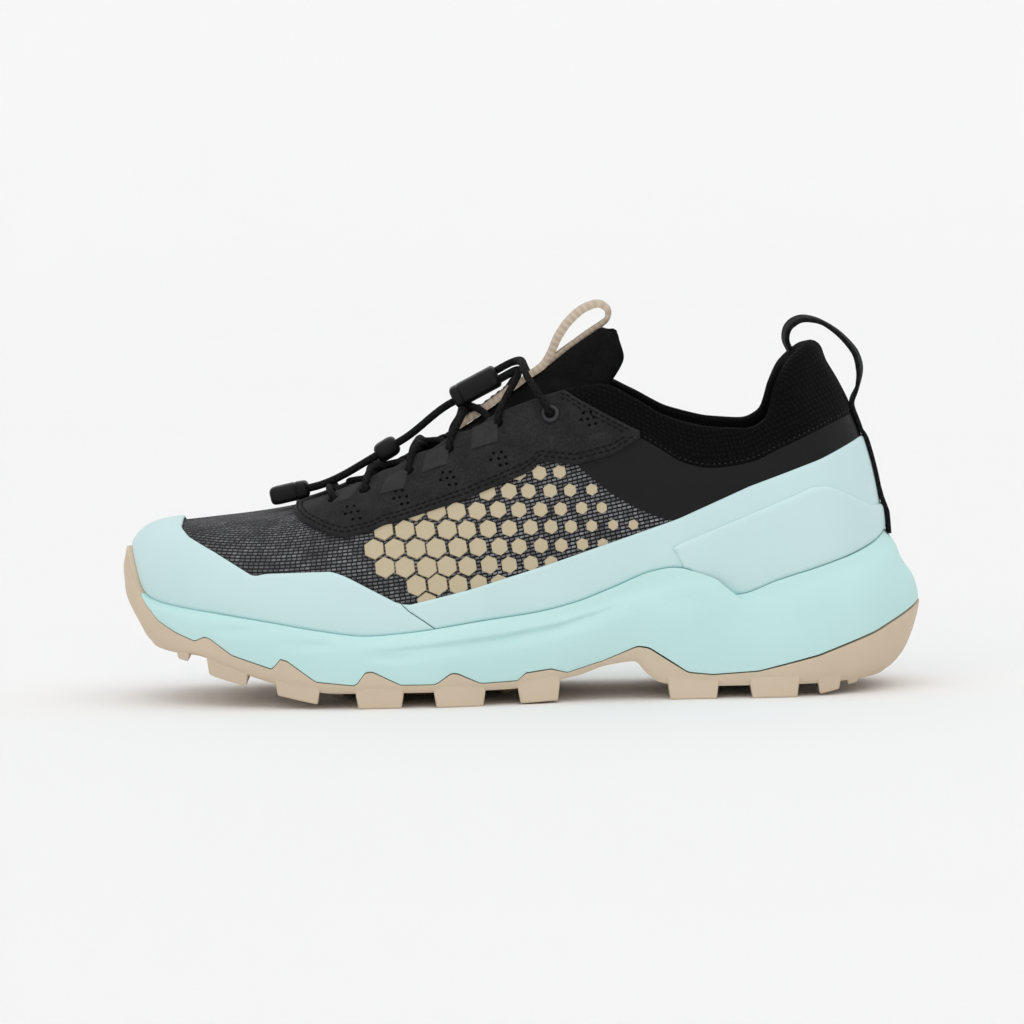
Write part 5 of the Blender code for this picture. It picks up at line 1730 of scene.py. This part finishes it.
def into_block(block, end, y, lift, reach=CORD_RUN):
    """Two points of a cord that runs straight into a block's front (-1) or rear (1) face."""
    along, up = block_axes(block)
    face = np.array(block["place"]) + end * along * block["size"][0] / 2 + up * lift + np.array([0.0, y, 0.0])
    return [face + end * along * reach, face - end * along * 0.6]


tails = {}
for medial, name in ((False, "lateral"), (True, "medial")):
    side = 1.0 if medial else -1.0
    lead = out_of_hole(LAST_HOLE, holes_s[LAST_HOLE] + 3, medial)
    lines.append(run(lead + into_block(LOCK, 1, side * LEAD_SPACING, -LEAD_DROP)))
    bend = at_edge(TOP_BEND, medial, 1.0, ON_STAY + EDGE_RISE) + np.array([0.0, 0.0, TOP_BEND_RISE])
    top = [at_hole(EYELET, medial, 0.6), at_hole(EYELET, medial, 3.2), bend]
    lines.append(run(top + into_block(LOCK, 1, side * LEAD_SPACING / 3, LEAD_DROP)))
    y = side * TAIL_SPACING
    back = into_block(LOCK, -1, y, -1.0, 1.5)[::-1] + into_block(KEEPER, 1, y, 0.0, 2.5)
    front = into_block(KEEPER, -1, y, 0.0, 2.0)[::-1] + into_block(CLIP, 1, y, 0.0, 2.0)
    tails[name] = run(back + front)
lacing = cords("lace_crossed_cord", lines, LACE_DIAMETER / 2, braid)
dress(lacing, "lace_cord", "lace_crossings", "lace_top_lateral", "lace_top_medial")
for name, line in tails.items():
    tail = cords("lace_tail_" + name, [line], LACE_DIAMETER / 2, braid)
    dress(tail, "lace_cord", "lace_tail_back_" + name, "lace_tail_front_" + name)
    path = to_part(line)
    length = float(np.linalg.norm(np.diff(path, axis=0), axis=1).sum())
    print(tail.name, "is", round(length * 1000, 1), "mm long")

# %% Eyelets
EYELET_RADIUS = 2.3
EYELET_TUBE = 0.9
EYELET_SEGMENTS = 40
EYELET_FACES = 16
eyelet_nylon = grained("moulded_nylon_dark_grey", ("#202022", "#2A2A2C"), 0.38, 0.8, 0.03, IOR=1.53,
                       Specular_IOR_Level=0.35)


def ring(name, centre, normal, radius, tube):
    """Flanged ring: a profile, flatter than round, turned about the normal."""
    across = unit(np.cross(normal, (0.0, 0.3, 1.0)))
    other = np.cross(normal, across)
    turn = np.linspace(0.0, 2 * math.pi, EYELET_SEGMENTS + 1)[:-1, None, None]
    count = EYELET_FACES + 1
    face = np.linspace(0.0, 2 * math.pi, count)
    reach = (radius + tube * np.cos(face))[None, :, None]
    lift = (tube * np.sin(face) * np.where(np.sin(face) > 0, 0.8, 1.0))[None, :, None]
    points = centre + reach * (np.cos(turn) * across + np.sin(turn) * other) + lift * normal
    quads, maps = grid_quads(EYELET_SEGMENTS, count, True)
    flat = np.concatenate([points, points[:1]])[..., [0, 2]].reshape(-1, 2)
    points = points[:, :-1]
    quads = quads // count * EYELET_FACES + quads % count % EYELET_FACES
    return make_object(name, points.reshape(-1, 3), quads, flat[maps.ravel()], [eyelet_nylon], sharp=60.0)


for medial, name in ((False, "lateral"), (True, "medial")):
    column, level = HOLES[int(medial)][EYELET]
    lift = EYESTAY_LIFT + EYESTAY_THICKNESS + 0.35
    centre = on_skin(column, level, lift)
    normal = unit(on_skin(column, level, lift + 1) - centre)
    eyelet = ring("eyelet_ring_" + name, centre, normal, EYELET_RADIUS, EYELET_TUBE)
    dress(eyelet, "lace_hardware", "eyelet_" + name)

# %% [markdown]
# ## What repeats
# Stitches, punched holes and printed cells repeat one small shape along a seam or over a panel.
# Each set is a cloud of points that carry a normal, a direction and a size; Geometry Nodes put the
# shape on every point, turn it and realise it, and the result is kept as a plain mesh.

# %% Repeater
SIZES = ("Length", "Width", "Height")
CELL_SIDES = 6
HOLE_SIDES = 16


def carried(tree, attribute, data_type="FLOAT_VECTOR"):
    """Value that every point of the cloud carries."""
    node = add_node(tree, "GeometryNodeInputNamedAttribute", {"Name": attribute}, data_type=data_type)
    return node.outputs["Attribute"]


def repeat_tree(name, shape, material):
    """Node tree that sets a small shape on every point; its sizes are inputs in metres."""
    tree = bpy.data.node_groups.new(name, "GeometryNodeTree")
    tree.interface.new_socket("Geometry", in_out="INPUT", socket_type="NodeSocketGeometry")
    for size_name in SIZES:
        tree.interface.new_socket(size_name, in_out="INPUT", socket_type="NodeSocketFloat")
    tree.interface.new_socket("Geometry", in_out="OUTPUT", socket_type="NodeSocketGeometry")
    given = add_node(tree, "NodeGroupInput").outputs
    if shape == "stitch":
        base = add_node(tree, "GeometryNodeMeshUVSphere", {"Segments": 8, "Rings": 5, "Radius": 0.5})
    else:
        sides = CELL_SIDES if shape == "cell" else HOLE_SIDES
        cone = {"Vertices": sides, "Radius Top": 0.47, "Radius Bottom": 0.5, "Depth": 1.0}
        base = add_node(tree, "GeometryNodeMeshCone", cone)
    size = add_node(tree, "ShaderNodeCombineXYZ", dict(zip("XYZ", (given[part] for part in SIZES))))
    sized = add_node(tree, "GeometryNodeTransform", {
        "Geometry": base.outputs["Mesh"], "Scale": size.outputs["Vector"]})
    upright = add_node(tree, "FunctionNodeAlignRotationToVector", {
        "Vector": carried(tree, "normal_way")}, axis="Z")
    turned = add_node(tree, "FunctionNodeAlignRotationToVector", {
        "Rotation": upright.outputs["Rotation"], "Vector": carried(tree, "along_way"),
    }, axis="X", pivot_axis="Z")
    placed = add_node(tree, "GeometryNodeInstanceOnPoints", {
        "Points": given["Geometry"], "Instance": sized.outputs["Geometry"],
        "Rotation": turned.outputs["Rotation"], "Scale": carried(tree, "size_share", "FLOAT")})
    real = add_node(tree, "GeometryNodeRealizeInstances", {"Geometry": placed.outputs["Instances"]})
    coloured = add_node(tree, "GeometryNodeSetMaterial", {
        "Geometry": real.outputs["Geometry"], "Material": material})
    add_node(tree, "NodeGroupOutput", {"Geometry": coloured.outputs["Geometry"]})
    return tree


def repeat(name, shape, spots, sizes, material, slot):
    """One plain mesh of a shape repeated at spots: places, normals, directions and size shares."""
    places, normals, ways, shares = (np.asarray(values, float) for values in spots)
    cloud = bpy.data.meshes.new(name + "_points")
    cloud.from_pydata(to_part(places).tolist(), [], [])
    for attribute, values in (("normal_way", normals), ("along_way", ways)):
        cloud.attributes.new(attribute, "FLOAT_VECTOR", "POINT").data.foreach_set("vector", values.ravel())
    cloud.attributes.new("size_share", "FLOAT", "POINT").data.foreach_set("value", shares)
    holder = bpy.data.objects.new(name + "_points", cloud)
    bpy.context.scene.collection.objects.link(holder)
    modifier = holder.modifiers.new("repeat", "NODES")
    modifier.node_group = repeat_tree(name, shape, material)
    sockets = [socket for socket in modifier.node_group.interface.items_tree if socket.in_out == "INPUT"]
    for socket, value in zip(sockets[1:], sizes):
        modifier[socket.identifier] = value * MM
    graph = bpy.context.evaluated_depsgraph_get()
    mesh = bpy.data.meshes.new_from_object(holder.evaluated_get(graph))
    bpy.data.objects.remove(holder, do_unlink=True)
    mesh.name = name
    mesh.shade_smooth()
    mesh.set_sharp_from_angle(angle=math.radians(40.0))
    item = bpy.data.objects.new(name, mesh)
    bpy.context.scene.collection.objects.link(item)
    return dress(item, slot)


def joined(parts):
    """Join several sets of spots into one."""
    return [np.concatenate(values) for values in zip(*parts)]


def seam_spots(columns, levels, lift, pitch):
    """Spots at even steps along a seam on the skin."""
    line = on_skin(columns, levels, lift)
    raised = on_skin(columns, levels, lift + 1.0)
    reach = way_along(line)
    steps = np.arange(pitch / 2, reach[-1], pitch)
    at = lambda values: np.stack([np.interp(steps, reach, values[:, i]) for i in range(3)], axis=1)
    places = at(line)
    return [places, unit(at(raised) - places), unit(np.gradient(places, axis=0)), np.ones(len(places))]


FINE_COLUMNS = np.arange(5.0, SIDE_COLUMNS - 5.0, 0.2)
FINE_LEVELS = np.linspace(0.0, 1.0, 241)
both_sides = (FINE_COLUMNS, COLUMNS - FINE_COLUMNS)
SIDE_GRIDS = [on_skin(columns[:, None], FINE_LEVELS) for columns in both_sides]


def skin_spot(s, z, medial):
    """Column and level of the skin nearest to a side-view place."""
    strip = SIDE_GRIDS[int(medial)]
    off = (strip[..., 0] - s) ** 2 + (strip[..., 2] - z) ** 2
    i, k = np.unravel_index(np.argmin(off), off.shape)
    return (COLUMNS - FINE_COLUMNS[i] if medial else FINE_COLUMNS[i]), FINE_LEVELS[k]


def spots_at(places, medial, lift, shares):
    """Spots on the skin at side-view places."""
    found = np.array([skin_spot(s, z, medial) for s, z in places])
    base = on_skin(found[:, 0], found[:, 1], lift)
    normal = unit(on_skin(found[:, 0], found[:, 1], lift + 1.0) - base)
    ahead = unit(on_skin(found[:, 0] + (-0.5 if medial else 0.5), found[:, 1], lift) - base)
    return [base, normal, ahead, shares]


# %% [markdown]
# A printed panel of tan film cells covers the mesh between eyestay and rand.  Its cells shrink
# towards the heel and leave the mesh free to bend and breathe between them.

# %% Film cells
CELL_PITCH = 7.2
CELL_FRONT = 86.0
CELL_FOOT = 36.0
CELL_ROWS = 9
CELLS_IN_ROW = 14
# Rows of six-sided cells lie this share of the pitch apart.
ROW_SHARE = 0.866
# Both ends of the panel lean back towards the sole.
FRONT_DROP = 8.0
FRONT_LEAN = 0.9
REAR_TOP = (150.0, 84.0)
REAR_LEAN = 1.45
CELL_MARGIN = 2.0
CELL_SINK = -0.15
CELL_FILL = 1.07
CELL_HEIGHT = 0.6
# From this place on the cells shrink to half their size.
SHRINK_START = 112.0
SHRINK_SPAN = 62.0
panel = []
for medial in (False, True):
    places = []
    shares = []
    for row in range(CELL_ROWS):
        z = CELL_FOOT + row * CELL_PITCH * ROW_SHARE
        for i in range(CELLS_IN_ROW):
            s = CELL_FRONT + (i + 0.5 * (row % 2)) * CELL_PITCH
            front = CELL_FRONT + max(0.0, eyestay_low(s) - z - FRONT_DROP) * FRONT_LEAN
            rear = REAR_TOP[0] + (REAR_TOP[1] - z) * REAR_LEAN
            if front < s < rear and rand_edge(s) - CELL_MARGIN < z < eyestay_low(s) + CELL_MARGIN:
                places.append((s, z))
                shares.append(1.0 - 0.5 * ramp(s, SHRINK_START, SHRINK_SPAN))
    base, normal, ahead, shares = spots_at(places, medial, CELL_SINK, np.array(shares))
    panel.append([base, normal, np.cross(normal, ahead), shares])
cell_size = CELL_PITCH * CELL_FILL
repeat("film_cells", "cell", joined(panel), (cell_size, cell_size, CELL_HEIGHT), film_tan, "upper_textile")

# %% [markdown]
# The eyestay has soft tabs between its lace holes, small groups of punched air holes and two rows
# of stitches along its edge.  The knit collar is sewn in with a lighter thread.

# %% Tabs, punched holes and stitches
def thread(colour, tones, gloss):
    """Bonded nylon thread of one colour."""
    return grained("bonded_nylon_thread_" + colour, tones, 0.7, 0.5, 0.05, Specular_IOR_Level=gloss)


tab_cloth = napped("smooth_microfibre_tab_black", ("#2A2A2B", "#353536"), 0.85, 1.2, 0.05,
                   Specular_IOR_Level=0.2)
dark_hole = grained("punched_hole_shade", ("#050505", "#090909"), 0.95, 0.5, 0.02, Specular_IOR_Level=0.05)
black_thread = thread("black", ("#070708", "#0E0E0F"), 0.15)
grey_thread = thread("grey", ("#252526", "#303032"), 0.2)
brown_thread = thread("brown", ("#2E2923", "#3C352D"), 0.2)
TAB_STEPS = 13
TAB_COLUMNS = 4.4
TAB_HEIGHT = 9.0
TABS = ((80.9, 71.2), (97.4, 75.8), (112.9, 83.5), (129.8, 91.8))
AIR_HOLES = ((82.3, 65.8), (99.2, 71.0), (115.7, 77.4), (133.3, 84.0), (164.6, 97.4))
ROSETTE = ((0.0, 0.0), (2.3, 0.4), (1.0, 2.0), (-1.4, 1.7), (-2.3, -0.5), (0.6, -2.1), (2.8, -1.7))
STAY_TOP = EYESTAY_LIFT + EYESTAY_THICKNESS - 0.1
HOLE_LIFT = STAY_TOP - 0.02
STITCH_LIFT = STAY_TOP + 0.05
STITCH_INSETS = (1.7, 3.4)
STITCH_PITCH = 2.4
BEHIND_LACES = 155.0
KNIT_INSET = 1.3
KNIT_PITCH = 2.0
for medial in (False, True):
    for number, (s, z) in enumerate(TABS):
        column, level = hole_spot(s, z, medial)
        middle = ease(TAB_STEPS) - 0.5
        columns = column + middle[:, None] * TAB_COLUMNS + 0 * middle
        levels = level + middle * TAB_HEIGHT / COLUMN_LENGTH[int(column)] + 0 * columns
        spread = flat_place(columns, levels)
        from_start = np.abs(spread - spread[:1, :1]).min(axis=2)
        from_end = np.abs(spread[-1:, -1:] - spread).min(axis=2)
        spots = (columns, levels, np.minimum(from_start, from_end))
        name = "lace_tab_%s_%d" % ("medial" if medial else "lateral", number + 1)
        tab = overlay(name, spots, [tab_cloth], STAY_TOP - 0.3, thickness=0.75, roll=1.0)
        dress(tab, "eyestay_microfibre")

air = []
lace_spots = []
for medial in (False, True):
    places = [(s + a, z + b) for s, z in AIR_HOLES for a, b in ROSETTE]
    air.append(spots_at(places, medial, HOLE_LIFT, np.ones(len(places))))
    found = np.array(HOLES[int(medial)])
    base = on_skin(found[:, 0], found[:, 1], HOLE_LIFT)
    normal = unit(on_skin(found[:, 0], found[:, 1], STAY_TOP + 1) - base)
    lace_spots.append([base, normal, np.roll(normal, 1, axis=1), np.ones(len(base))])
repeat("punched_air_holes", "hole", joined(air), (1.15, 1.15, 0.14), dark_hole, "eyestay_microfibre")
repeat("punched_lace_holes", "hole", joined(lace_spots), (4.4, 4.4, 0.16), dark_hole, "eyestay_microfibre")

stay_seams = []
knit_seams = []
for medial in (False, True):
    columns = np.linspace(column_at(0.06, medial), column_at(0.615, medial), 1400)
    length = ring_value(COLUMN_LENGTH, columns)
    low = ring_value(crossing_levels(eyestay_low), columns)
    high = np.minimum(ring_value(crossing_levels(eyestay_rear), columns), EYESTAY_LIMIT)
    tall = (high - low) * length
    for inset in STITCH_INSETS:
        inside = tall > 2 * inset + 1.5
        behind = inside & (on_skin(columns, high)[:, 0] > BEHIND_LACES)
        for level, kept in ((low + inset / length, inside), (high - inset / length, behind)):
            stay_seams.append(seam_spots(columns[kept], level[kept], STITCH_LIFT, STITCH_PITCH))
    columns = np.linspace(column_at(0.625, medial), column_at(0.99, medial), 900)
    level = ring_value(crossing_levels(knit_line), columns) + KNIT_INSET / ring_value(COLUMN_LENGTH, columns)
    knit_seams.append(seam_spots(columns, level, COLLAR_PROUD - 0.05, KNIT_PITCH))
repeat("eyestay_stitches", "stitch", joined(stay_seams), (2.0, 0.75, 0.5), black_thread, "eyestay_microfibre")
repeat("collar_stitches", "stitch", joined(knit_seams), (0.8, 0.45, 0.4), grey_thread, "upper_textile")

# %% Stitches of the tongue's tape
TAPE_SEAM = 3.2
TAPE_SEAM_END = 138.0
TAPE_PITCH = 2.2
tape_s = np.arange(TAPE_START + 2.0, TAPE_SEAM_END, TAPE_PITCH)
rows = []
for y in (-TAPE_SEAM, TAPE_SEAM):
    line = above_ridge(tape_s, np.full(len(tape_s), TAPE_TOP - 0.05))
    ahead = unit(np.stack([np.gradient(line[:, 0]), 0 * tape_s, np.gradient(line[:, 1])], axis=1))
    base = np.stack([line[:, 0], np.full(len(line), y), line[:, 1]], axis=1)
    rows.append([base, np.stack([-ahead[:, 2], 0 * tape_s, ahead[:, 0]], axis=1), ahead, np.ones(len(base))])
repeat("tape_stitches", "stitch", joined(rows), (1.5, 0.6, 0.5), brown_thread, "tongue_tape")
